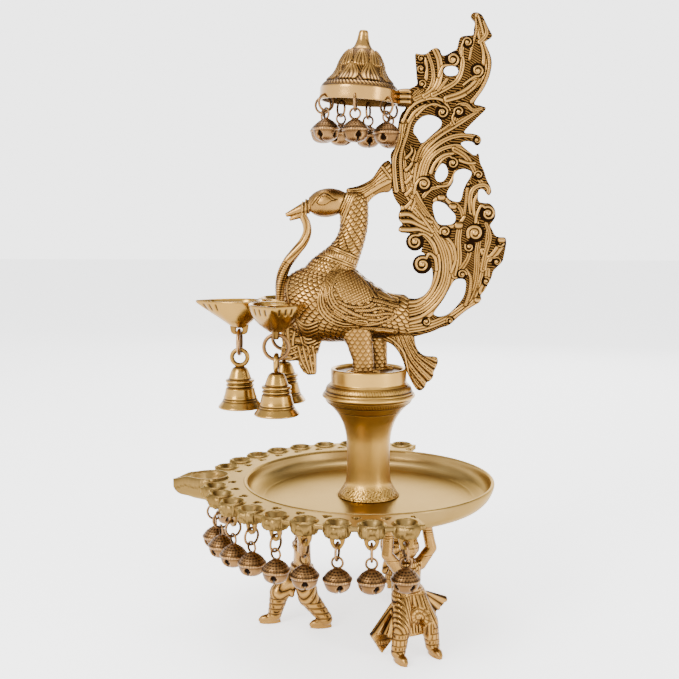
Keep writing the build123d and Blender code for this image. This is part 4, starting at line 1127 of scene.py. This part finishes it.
def bowl_part(shape, profile, seg, dress=None):
    """Shell swept round a polar outline: `profile` rows are (share of the radius, inset mm, height)."""
    th = np.linspace(-pi, pi, seg, endpoint=False)
    R0 = np.interp(th, shape[0], shape[1], period=2 * pi)
    low = np.minimum(R0, R0.min() * 1.12)
    p = smooth_line([(a * 20, b, c) for a, b, c in profile], 0.7)
    rows, c = [], []
    for k in range(len(p)):
        share = p[k, 0] / 20
        keel = share ** 2.5
        spread_deg = 46.0 * max(0.0, 1 - share) ** 0.8
        rounded = R0 if spread_deg < 0.6 else blur_round(R0, th, rad(spread_deg))
        r = np.maximum((rounded * keel + low * (1 - keel)) * share - p[k, 1], 0.02)
        z = np.full(seg, p[k, 2])
        col = np.full(seg, 0.86)
        if dress:
            r, z, col = dress(k / (len(p) - 1), th, r, z, col)
        rows.append(np.stack([r * np.cos(th), r * np.sin(th), z], 1))
        c.append(col)
    n = len(rows)
    v = np.vstack(rows)
    f = [(k * seg + i, k * seg + (i + 1) % seg, (k + 1) * seg + (i + 1) % seg, (k + 1) * seg + i)
         for k in range(n - 1) for i in range(seg)]
    f += [tuple(range(seg))[::-1], tuple((n - 1) * seg + i for i in range(seg))]
    return v, f, np.concatenate(c)


def slashes(q, th, r, z, col):
    """Three cuts on each side of the spout, on the outside under the rim."""
    side = np.abs((th + pi) % (2 * pi) - pi)
    wave = np.zeros_like(th)
    for at in (0.20, 0.42, 0.66):
        wave = np.maximum(wave, np.exp(-((side - at) / 0.035) ** 2))
    m = wave * step_up(z, 240.6, 242.2) * (1 - step_up(z, 245.6, 247.0)) * (q < 0.55)
    return r - 0.7 * m, z, col * (1 - 0.92 * m)


OUT = [(0.20, 0, 227.6), (0.30, 0, 228.4), (0.47, 0, 230.8), (0.66, 0, 234.2), (0.82, 0, 238.2),
       (0.93, 0, 242.4), (0.985, 0, 245.6), (1.0, 0, 247.4), (1.0, 0.3, 248.3), (1.0, 1.0, 248.5),
       (1.0, 1.8, 247.9), (0.97, 2.3, 245.6), (0.90, 2.6, 241.4), (0.76, 2.6, 237.4), (0.54, 2.4, 234.4),
       (0.28, 1.4, 233.2), (0.06, 0.3, 232.9)]
NS = 220
parts = [spin(bowl_part(spout_shape(reach, r), OUT, NS, slashes), turn, (x, y, 0))
         for x, y, turn, reach, r in SPOUTS.values()]
round_shape = (np.linspace(-pi, pi, 60), np.full(60, 15.6))
HUB = [(0.55, 0, 237.4), (0.80, 0, 240.2), (1.0, 0, 244.6), (1.0, 0.4, 246.8), (0.8, 0, 247.3),
       (0.1, 0, 247.4)]
parts.append(spin(bowl_part(round_shape, HUB, 90), 0, (-66, 0, 0)))
neck = tube(smooth_line([(-70, 0, 243.4), (-60, 0, 243.6), (-53, 0, 243.8), (-48.5, 0, 244)], 1.0), 3.6, 28)
neck_v = neck[0] * [1, 1.75, 1]
parts.append((neck_v, neck[1], np.full(len(neck_v), 0.7)))
blk = Relief(-8.5, 8.5, 221, 232, 0.3)
blk.add_shape(soften([(-7.4, 231.6), (-6.7, 226.5), (-6.2, 224), (-4.4, 222.6), (-1.6, 222.4), (1.6, 222.4),
                      (4.4, 222.6), (6.2, 224), (6.7, 226.5), (7.4, 231.6)], 1))
blk.cut_shape(circle(0, 226, 2.5, 28))
blk.C[:] = 0.55
v, f, c = blk.plate(2.1, 1.4, 1.2)
parts += [spin((v, f, np.full(len(v), 0.5)), turn, (x, y, 0)) for x, y, turn, reach, r in SPOUTS.values()]
v, f, c = together(*parts)
mesh_object("three_spout_lamp", v, f, ("triple_lamp",), SATIN, relief=c)

# ------------------------------------------------------------------ the three large bells
BELL = [(0, 198.4), (2.4, 198.3), (4.8, 197.5), (6.4, 195.2), (7.6, 192.0), (8.6, 189.3), (9.3, 188.4),
        (10.6, 188.0), (11.0, 187.1), (10.7, 186.1), (9.9, 185.6), (9.9, 184.8), (10.6, 184.4),
        (10.7, 183.5), (10.2, 182.9), (10.2, 182.0), (10.9, 181.4), (11.2, 179.6), (11.9, 176.6),
        (12.7, 174.4), (12.9, 173.4), (13.4, 172.6), (13.8, 171.6), (14.4, 170.6), (15.4, 169.2),
        (16.3, 168.0), (16.8, 167.1), (16.3, 166.4), (15.2, 166.8), (13.6, 169), (12, 172), (10.4, 176),
        (9.2, 180), (8.4, 184), (7.4, 188), (6.2, 192), (4, 195), (0, 195.6)]


def bell_relief(th, r, z):
    c = np.full_like(r, 0.88)
    cut = np.zeros_like(r)
    for z0, w in ((189.0, 0.42), (185.6, 0.50), (182.6, 0.48), (173.7, 0.42), (172.1, 0.42), (197.6, 0.4)):
        cut = np.maximum(cut, np.exp(-((z - z0) / w) ** 2))
    return -0.42 * cut, np.clip(c * (1 - 0.98 * cut), 0.02, 1)


bell_part = together(turned(BELL, 0.45, 96, bell_relief, -1), spin(torus(5.9, 1.75, 48, 16), 0,
                                                                   (0, 0, 204.9)))
CLAPPER = [(0, 163.6), (1.0, 163.8), (1.5, 165), (1.9, 166.2), (3.0, 167), (3.5, 168.8), (3.2, 170.8),
           (2.0, 172), (1.1, 173.4), (0.95, 180), (0.95, 186.2), (0, 186.5)]
clap_v, clap_f, clap_c = turned(CLAPPER, 0.6, 28)
clap = together((clap_v, clap_f, clap_c * 0.7), spin(torus(2.4, 0.7, 28, 10), 0, (0, 0, 188.4)))
ring = spin(torus(9.0, 1.45, 64, 18), 0, (0, 0, 216.6))
HANGING = (("ring_", "bell_ring_", ring, 90, BROWN), ("bell_turned_", "bell_", bell_part, 0, SATIN),
           ("clapper_cast_", "clapper_", clap, 0, SATIN))
for name, (x, y, turn, reach, r) in SPOUTS.items():
    for piece, node, part, extra, mat in HANGING:
        v, f, c = spin(part, turn + extra, (x, y, 0))
        mesh_object(piece + name, v, f, (node + name,), mat, node + name, c)

# ------------------------------------------------------------------ bird: body and wings
side = Painted(-72, 34, 186, 362, 0.3)
S, G2 = side.stroke, side.groove
# folded wing: curved quill bands round a netted shoulder, then rows of barred feathers
outer_edge = np.array([(-21, 279), (-30, 268), (-35.6, 256.5), (-37.4, 248), (-35, 240.4), (-28.6, 234),
                       (-20, 230.6), (-9, 230.2)], float)
inner_edge = np.array([(-13, 276), (-21.6, 268.6), (-25.4, 260), (-24.4, 254), (-21, 249), (-15, 245.4),
                       (-8, 243.4), (0, 242)], float)
for f in (0.05, 0.19, 0.33, 0.47, 0.61, 0.75, 0.90):
    S(outer_edge * (1 - f) + inner_edge * f, 1.0, 1.05, 1, 0.5, hatch=0.5 if f in (0.33, 0.61) else 0.0,
      pitch=1.5)
net = [(-20.6, 273), (-23.4, 264), (-22.6, 256), (-18, 250.6), (-11, 248.2), (-3, 248.8), (3, 252),
       (1.5, 259), (-4, 266), (-12, 273)]
d = loop_distance(soften(net), side.X, side.Z)
u = np.abs(np.sin(pi * (side.X * 0.42 - side.Z * 0.90) / 1.9))
w = np.abs(np.sin(pi * (side.X * 0.93 + side.Z * 0.36) / 1.9))
m = d > 0
side.H[m] = (0.55 * np.minimum(u, w) ** 0.8 - 0.1)[m]
side.C[m] = (0.10 + 0.95 * np.minimum(u, w) ** 0.6)[m]
S([(-16, 275), (-7, 268), (0, 260), (5, 252.5)], 1.0, 1.0, 1, 0.5)
S([(-13, 276), (-4, 268), (3, 259.6), (8, 252)], 0.9, 1.0, 1, 0.5, hatch=0.7)
S([(-22, 250.4), (-16, 247), (-8, 245.6), (0, 246.6), (5, 250.6)], 1.5, 1.5, 1, 0.6, hatch=0.9, pitch=1.6)
S([(-20.4, 246.6), (-12, 241.6), (-4, 238.4), (5, 236.4)], 1.8, 1.9, 1, 0.55, hatch=0.8, pitch=1.5)
S([(-24, 243), (-16, 237.4), (-7, 233.6), (3, 232.4)], 1.7, 1.5, 2, 0.5, hatch=0.6, pitch=1.5)
S([(4, 250.6), (10, 249), (17, 246.6), (22, 245.4)], 1.9, 1.4, 1, 0.6, hatch=0.9, pitch=1.5)
S([(-9, 243.4), (0, 243.2), (9, 244.8), (17, 242.6)], 1.9, 1.6, 1, 0.6, hatch=0.9, pitch=1.5)
S([(-3, 240.2), (5, 239.6), (12, 240.4), (18, 240)], 1.7, 1.4, 1, 0.6, hatch=0.9, pitch=1.5)
S([(0, 236.4), (7, 236), (14, 238.4)], 1.5, 1.3, 1, 0.5, hatch=0.8, pitch=1.4)
S([(-8, 230.6), (2, 231.8), (12, 234.2), (20, 238)], 1.6, 1.4, 2, 0.5)
S([(-4, 227), (4, 226.6), (12, 226.2), (20, 226)], 4.3, 2.2, 2, 0.5, hatch=0.7, pitch=1.5, bulge=0.9)
S([(6, 226.4), (12, 226), (17, 225.8)], 2.4, 1.6, 0, 0.8, bulge=0.5)
S([(8, 255), (14, 252), (21, 250)], 2.2, 1.8, 2, 0.3)
# collar round the neck
S([(-46, 284), (-33, 285.6), (-20, 281.8), (-5, 274.6)], 5.0, 5.0, 0, -0.3)
S([(-44, 287.2), (-30, 289.0), (-18, 285.2), (-5, 278.8)], 1.15, 1.15, 1, 0.9)
S([(-46, 283.8), (-33, 285.6), (-20, 281.8), (-6, 275.4)], 1.9, 1.9, 0, 0.6, hatch=0.95, pitch=1.9, slant=0.1)
S([(-48, 280.2), (-36, 282.0), (-22, 278.2), (-7, 271.4)], 1.15, 1.15, 1, 0.9)
# two bands behind the head and the eye
S([(-11.6, 332), (-15, 325), (-18.4, 316.6), (-21.6, 308)], 3.4, 3.4, 0, -0.3)
S([(-13.8, 332), (-17, 325), (-20.4, 317), (-23.4, 309.6)], 1.15, 1.15, 1, 0.8)
S([(-9.6, 331), (-13, 323.6), (-16.6, 315.4), (-20.0, 306.6)], 1.9, 1.9, 2, 0.8)
G2([(-42.2, 319.2), (-39.4, 323), (-36.4, 326.6), (-32.6, 328.3), (-29, 327), (-26.2, 324.4), (-23.4, 323.8)])
G2([(-42.8, 321.2), (-40.6, 324.4)], 0.3, 0.2)
G2([(-38.6, 321), (-36.4, 319.6), (-33.6, 319.4), (-30.4, 320.6), (-27.4, 322.8), (-24.6, 323.2)])
G2([(-38.4, 321.4), (-35.8, 324.8), (-32.4, 326), (-29.4, 324.8), (-27.2, 323)], 0.38, 0.3)
G2([(-23, 330), (-20.4, 331.4), (-18, 330.2), (-19.4, 328.2), (-21.6, 328.4)], 0.3, 0.2)
G2([(-42, 313.4), (-38.4, 311.6), (-34, 311), (-28, 311.6), (-24, 313)], 0.3, 0.2)
# drooping plume under the breast
for k in range(8):
    S([(-57 + 0.9 * k, 241.5 - 2.9 * k), (-50.6 + 0.3 * k, 234 - 2.9 * k), (-45, 231.6 - 2.9 * k),
       (-37.6 - 0.1 * k, 234.4 - 2.9 * k)], 1.35, 1.35, 1, 0.7)
for f in np.linspace(0, 1, 4):
    S([(-53 + 11 * f, 214), (-50.4 + 10 * f, 204), (-45.4 + 5 * f, 194)], 1.5, 1.1, 1, 0.65, hatch=0.35)
S([(-60, 246), (-64.4, 234), (-64.6, 222), (-62.4, 210)], 1.6, 1.4, 2, 0.55, hatch=0.6)
S([(-57, 240), (-60.6, 230), (-60.4, 220), (-57.6, 208)], 1.7, 1.3, 1, 0.6, hatch=0.4)
S([(-55.6, 226), (-57, 216), (-54.6, 206)], 1.4, 1.2, 1, 0.6)
for z in (214, 209.6, 205.6):
    S([(-66, z), (-60, z - 1.6), (-54, z + 0.6)], 1.3, 1.2, 1, 0.6)
S([(-62, 268), (-65, 260), (-64.6, 250), (-61, 240)], 1.5, 1.5, 2, 0.5, hatch=0.9, pitch=1.4)
S([(-58.6, 268), (-60.6, 258), (-59, 248)], 1.3, 1.3, 1, 0.5, hatch=0.8)
arc_a = np.linspace(0, 2 * pi, 400)
arc_s = np.concatenate([[0], np.cumsum(np.hypot(44 * np.sin(arc_a[1:]),
                                                21 * np.cos(arc_a[1:])) * (arc_a[1] - arc_a[0]))])
neck_z = [266, 276, 285, 293, 303, 313, 322, 329]
neck_x = [-30, -27, -20.5, -14.8, -11.6, -11.3, -11.1, -11.5]


def feathered(v, nrm):
    """Height and brightness over the bird: painted strokes, scales between them, a smooth head."""
    x, y, z = v.T
    H, C = side.at(x, z)
    H, C = H.copy(), C.copy()
    bare = C < 0
    cx = np.interp(z, neck_z, neck_x)
    a_neck = np.arctan2(y, -(x - cx))
    t_neck, s_neck = a_neck * 9.5, -z + 0.35 * (x - cx)
    a_body = np.arctan2(y / 21, -(x + 18) / 44) % (2 * pi)
    t_body = np.interp(a_body, arc_a, arc_s)
    upper = z > 283 - 0.30 * (x + 20)
    hn, cn = scales(t_neck, s_neck, 4.26, 3.0)
    hb, cb = scales(t_body, -z - 0.25 * x, 4.35, 2.9)
    hs, cs = np.where(upper, hn, hb), np.where(upper, cn, cb)
    head = (z > 304) & (x < -17.8 + (z - 320) * 0.42)
    hs, cs = np.where(head, 0.0, hs), np.where(head, 0.66, cs)
    ring = head & (x < -43.5) & (x > -50.4)
    wob = np.cos(2 * pi * (x + 47) / 2.6)
    hs = np.where(ring, 0.35 * wob, hs)
    cs = np.where(ring, 0.55 + 0.4 * wob, cs)
    side_on = np.clip((np.abs(nrm[:, 1]) - 0.15) / 0.25, 0, 1)
    H = np.where(bare, hs, H * side_on + hs * (1 - side_on) * (~head))
    C = np.where(bare, cs, C * side_on + cs * (1 - side_on))
    return H, np.clip(C, 0.02, 1)


def chase(name, nodes, extra, voxel, relax, pattern, gain, mat, body=ROOT):
    v, f, e, n = sculpt(nodes, extra, voxel, relax)
    h, c = pattern(v, n)
    v = v + n * (gain * h)[:, None]
    return mesh_object(name, v, f, nodes, mat, body, c)


beak_lines = [ellipsoid((-33, s * 8.0, 323), (5.0, 1.4, 3.6)) for s in (1, -1)]
shoulders = [ellipsoid((-24, s * 11, 264), (10, 6, 11)) for s in (1, -1)]
shoulders += [ellipsoid((-27, s * 9.4, 272), (10, 5.6, 8.5)) for s in (1, -1)]
chase("peacock_sculpted", ("peacock_body", "peacock_wings"), beak_lines + shoulders, 0.46, 3, feathered,
      0.85, CAST)
chase("breast_plume_sculpted", ("breast_plume",), [], 0.46, 3, feathered, 0.95, CAST)


def leg_pattern(v, n):
    x, y, z = v.T
    h, c = scales(np.where(np.abs(n[:, 1]) > 0.5, x, y * 0.9 + 1.3), -z, 4.0, 3.0)
    h, c = 0.7 * h, 0.30 + 0.55 * c
    low = z < 197
    h, c = np.where(low, 0, h), np.where(low, 0.7 - 0.3 * (z < 195.4), c)
    return h, c


def thigh(y, foot, top):
    path = smooth_line([(top - 1, 0.70 * y, 246), (top - 1, 0.84 * y, 234), ((top + foot) / 2, 0.97 * y, 217),
                        (foot, y, 205), (foot, y, 195.4)], 1.0)
    r = np.interp(np.linspace(0, 1, len(path)), (0, 0.24, 0.56, 0.80, 1), (16.0, 14.6, 9.4, 7.9, 7.9))
    return tube(path, r, 28, 0.66)


thighs = [thigh(-11, -4, -9), thigh(11, 6, 3)]
chase("peacock_legs_sculpted", ("peacock_base",), thighs, 0.5, 3, leg_pattern, 0.7, CAST)

# ------------------------------------------------------------------ crest that joins the head to the tail
crest = Relief(-22, 20, 314, 358, 0.35)
crest.add_shape(soften([(-19, 331.6), (-8, 333.4), (2, 338.5), (6, 345), (10, 350.6), (15.4, 353),
                        (17.6, 340), (16.4, 328.8), (8, 328.6), (2, 324.8), (-3, 318.2), (-12, 321.6)]))
for f in np.linspace(0, 1, 4):
    crest.stroke([(-17, 330.6 - 6 * f), (-6, 331.4 - 6 * f), (3, 335.4 - 5 * f), (9, 342 - 8 * f),
                  (17, 350 - 12 * f)], 1.7, 2.2, 1, 0.9)
crest.stroke([(-8, 322.6), (-3, 322.4), (3, 326.4)], 2.0, 1.8, 0, 0.3, hatch=0.9, pitch=1.6, slant=-0.4)
crest.stroke([(8, 349.4), (12, 344), (15.6, 339)], 1.4, 1.4, 1, 0.7, hatch=0.5)
carve(crest, "crest_chased", "crest", 3.4, 1.2, 3.2)

# ------------------------------------------------------------------ twisted stem from beak to breast
path = smooth_line([(-49.6, 0, 312), (-46.8, 0, 306), (-46.4, 0, 299), (-49.5, 0, 291.5), (-55.5, 0, 284),
                    (-61, 0, 277), (-64.6, 0, 269), (-66, 0, 260), (-65.6, 0, 249)], 0.5)
run = np.linspace(0, 1, len(path))
NT = 48
v, f = tube(path, 2.75 + 1.9 * run, NT)
k = np.arange(len(path) * NT)
ang, s = 2 * pi * (k % NT) / NT, 78 * (k // NT) / len(path)
rib = np.abs(np.sin(2.5 * ang + 0.10 * s))
cut = np.where(s > 44, (0.5 + 0.5 * np.cos(2 * pi * s / 1.9)) ** 2, 0)
h = np.concatenate([0.6 * rib ** 0.7 - 0.3 - 0.35 * cut, [0, 0]])
c = np.concatenate([np.clip((0.12 + 0.85 * rib ** 0.7) * (1 - 0.7 * cut), 0, 1), [0.5, 0.5]])
centre = np.vstack([np.repeat(path, NT, axis=0), path[:1], path[-1:]])
out = v - centre
out /= np.linalg.norm(out, axis=1)[:, None] + 1e-6
mesh_object("beak_branch_chased", v + out * h[:, None], f, ("beak_branch",), CAST, relief=c)

# ------------------------------------------------------------------ arm that carries the canopy
arm = Relief(16, 36, 386, 408, 0.35)
arm.add_shape(soften([(19.4, 391.2), (19.4, 402.8), (24, 403.6), (31, 403.6), (31.4, 397), (31, 390.6),
                      (24, 390.6)]))
for z in (393.4, 397.2, 401):
    arm.stroke([(18.6, z), (25, z + 0.5), (32, z)], 1.8, 1.8, 1, 0.7)
carve(arm, "canopy_arm_cast", "canopy_arm", 5.8, 2.0, 3.4)

# ------------------------------------------------------------------ three carrying figures
def figure_cast(name, cx, cy, turn, feet, skirt):
    k, s = cos(rad(turn)), sin(rad(turn))

    def put(p):
        p = np.atleast_2d(np.asarray(p, float))
        return np.stack([cx + p[:, 0] * k - p[:, 1] * s, cy + p[:, 0] * s + p[:, 1] * k, p[:, 2]], 1)

    clay = []

    def add(*forms):
        for v, f in forms:
            clay.append((put(v), f))

    # head: skull, jaw, nose, lips, brow, ears, coiled hair and its knot
    add(ellipsoid((0.6, 0, 78.6), (7.0, 6.3, 7.4)), ellipsoid((2.6, 0, 74.2), (4.9, 4.5, 4.6)),
        ellipsoid((7.6, 0, 76.9), (1.5, 1.05, 2.0)), ellipsoid((7.0, 0, 78.8), (1.0, 0.7, 2.4)),
        ellipsoid((7.0, 0, 73.6), (1.0, 1.9, 0.55)), ellipsoid((6.8, 0, 72.7), (1.0, 1.5, 0.55)),
        ellipsoid((-4.6, 0, 83.8), (4.4, 4.6, 4.0)), ellipsoid((-0.6, 0, 81.6), (6.8, 6.9, 5.2)))
    for side in (1, -1):
        add(ellipsoid((6.1, side * 2.7, 78.4), (1.3, 1.6, 0.85)), ellipsoid((6.2, side * 2.8, 80.3),
                                                                            (1.0, 2.0, 0.45)),
            ellipsoid((0.8, side * 6.6, 76.8), (1.3, 0.9, 2.1)), ellipsoid((0.8, side * 7.0, 73.6),
                                                                           (1.2, 1.0, 1.3)),
            ellipsoid((5.2, side * 4.6, 62.6), (2.3, 3.4, 2.6)))
        add(*capsule((0, side * 9.5, 63.5), (1, side * 18, 74), 4.7, 4.1))
        add(*capsule((1, side * 18, 74), (-2, side * 15, 91), 4.2, 3.6))
    for (out, across), side in zip(feet, (-1, 1)):
        knee = np.array((out * 0.55 + 5, across * 0.8, 24))
        ankle = np.array((out - 1, across, 6.4))
        add(*capsule((0, side * 5.2, 42), knee, 8.0, 6.8 if skirt else 8.0))
        add(*capsule(knee, ankle, 6.6 if skirt else 7.8, 5.4))
        add(ellipsoid((out + 3.4, across, 3.4), (7.6, 3.6, 3.3)), ellipsoid((out + 8.2, across, 2.4),
                                                                            (3.6, 2.5, 2.2)))
        add(*capsule((out - 2, across, 7.4), (out - 1.8, across, 3.2), 3.9, 3.1))
    # waist cloth and sash
    ring = np.linspace(0, 2 * pi, 49)
    sash = np.stack([7.4 * np.cos(ring), 9.6 * np.sin(ring), 46 + 0.8 * np.cos(ring)], 1)
    add(tube(sash, 1.9, 12))
    necklace = np.stack([0.6 + 6.2 * np.cos(ring), 6.6 * np.sin(ring), 64.5 - 2.6 * np.cos(ring)], 1)
    add(tube(necklace, 1.15, 10))
    if skirt:
        for side, tip_w, tip_z in ((-1, 31, 17), (1, 34, 33)):
            for q in np.linspace(0.10, 0.92, 7):
                add(*capsule((0.4, side * 6, 45), (0.4, side * (9 + (tip_w - 11) * q), 15
                                                   + (tip_z - 13) * q), 1.5, 2.6, 12))
        add(ellipsoid((9.4, 2.0, 29), (2.6, 6.8, 6.4)), ellipsoid((10.9, 2.0, 29), (2.0, 2.6, 2.6)))
    else:
        add(*capsule((5, 0, 43), (8.2, 1.0, 24), 3.4, 2.2), *capsule((-5, 1, 44), (-9.4, 4.0, 22), 3.6, 3.0))

    def pattern(v, n):
        dx, dy = v[:, 0] - cx, v[:, 1] - cy
        o, a, z = dx * k + dy * s, -dx * s + dy * k, v[:, 2]
        h, c = np.zeros(len(v)), np.full(len(v), 0.70)

        def mark(mask, wave, depth=0.45, low=0.12, high=0.9):
            h[mask] = -depth * (1 - wave[mask])
            c[mask] = low + (high - low) * wave[mask]

        ang = np.arctan2(a, o)
        trunk = (np.hypot(o, a * 0.8) < 11.5)
        legs = (z > 6.5) & (z < 44)
        # folds of the drawn-up cloth, then bands round the shins
        mark(legs, np.abs(np.sin((z * 0.75 + a * 0.9 + 0.12 * o * a * 0.4) * 0.62)) ** 0.75, 0.5, 0.06, 0.84)
        shin = (z > 8) & (z < 21)
        cuff = np.abs(np.sin(pi * (z - 8) / 4.3)) ** 0.6
        tick = np.abs(np.sin(a * 1.5)) ** 0.7
        mark(shin, np.minimum(cuff, np.where(np.abs((z - 8) % 4.3 - 2.15) < 1.0, tick, 1)), 0.5, 0.03, 0.86)
        if skirt:
            cloth = (z > 13) & (z < 45.5) & (np.abs(a) > 8.5) & (np.abs(o) < 6.5)
            slope = np.abs(np.arctan2(np.abs(a) - 2, 49 - z))
            mark(cloth, np.abs(np.sin(slope * 17)) ** 0.9, 0.7, 0.02, 0.88)
            apron = (z > 12) & (z < 45) & (o > 3) & (np.abs(a) < 9.4)
            mark(apron, np.abs(np.sin(a * 1.25 + z * 0.10)) ** 0.85, 0.6, 0.04, 0.88)
            rr = np.hypot(a - 2, z - 29)
            disc = (rr < 7.2) & (o > 3)
            mark(disc, np.minimum(np.abs(np.sin(rr * 1.15)) ** 0.5,
                                  np.where(rr > 2.9, np.abs(np.cos(5 * np.arctan2(z - 29, a - 2))) ** 0.4,
                                           1)), 0.5, 0.08, 0.95)
            hem = (z > 12.4) & (z < 16) & (np.hypot(o, a) > 8)
            mark(hem, np.abs(np.sin(ang * 26)) ** 0.5, 0.5, 0.1, 0.9)
        band = (z > 43.4) & (z < 49) & trunk
        mark(band, np.minimum(np.abs(np.sin((z - 43.4) * 1.12)) ** 0.4,
                              np.abs(np.sin(ang * 14 + z)) ** 0.35), 0.4, 0.1)
        drape = (z > 49) & (z < 58) & trunk & (np.abs(a + (z - 53) * 1.5) < 3.6)
        mark(drape, np.abs(np.sin((a + (z - 53) * 1.5) * 1.4)) ** 0.8, 0.45, 0.05)
        chain = (z > 58.5) & (z < 68) & (np.hypot(o - 0.6, a) > 5.2) & (np.abs(a) < 8) & (o > -3)
        mark(chain, np.abs(np.sin(ang * 13)) ** 0.8, 0.4, 0.05)
        for z0, z1 in ((84.5, 88.5), (68, 70.6)):
            cuffs = (z > z0) & (z < z1) & (np.abs(a) > 11)
            mark(cuffs, np.abs(np.sin(pi * (z - z0) / 1.6)) ** 0.8, 0.45, 0.03)
        head = (z > 69.5) & (z < 89) & (np.hypot(o, a) < 10.5)
        hair = head & (z > 80.6 - 0.55 * o) & (o < 5.6)
        mark(hair, np.abs(np.sin(ang * 9 + z * 0.5)) ** 0.8, 0.5, 0.03, 0.8)
        off = np.abs(a) - 2.7
        lid = head & (o > 5.4) & (np.abs(off) < 1.7) & (np.abs(z - 77.9 - 0.10 * off ** 2) < 0.30)
        mouth = head & (o > 5.6) & (np.abs(a) < 1.8) & (np.abs(z - 73.15 - 0.08 * a * a) < 0.28)
        c[lid | mouth] = 0.08
        return h, c

    chase("figure_cast_" + name, ("figure_" + name,), clay, 0.46, 4, pattern, 0.9, CAST)


figure_cast("front", 30, -56, -62, ((14, -15), (14, 13)), True)
figure_cast("left", -50, -13, 190, ((22, -6), (-16, 8)), False)
figure_cast("rear", 21, 52, 62, ((-13, -10), (14, 10)), False)
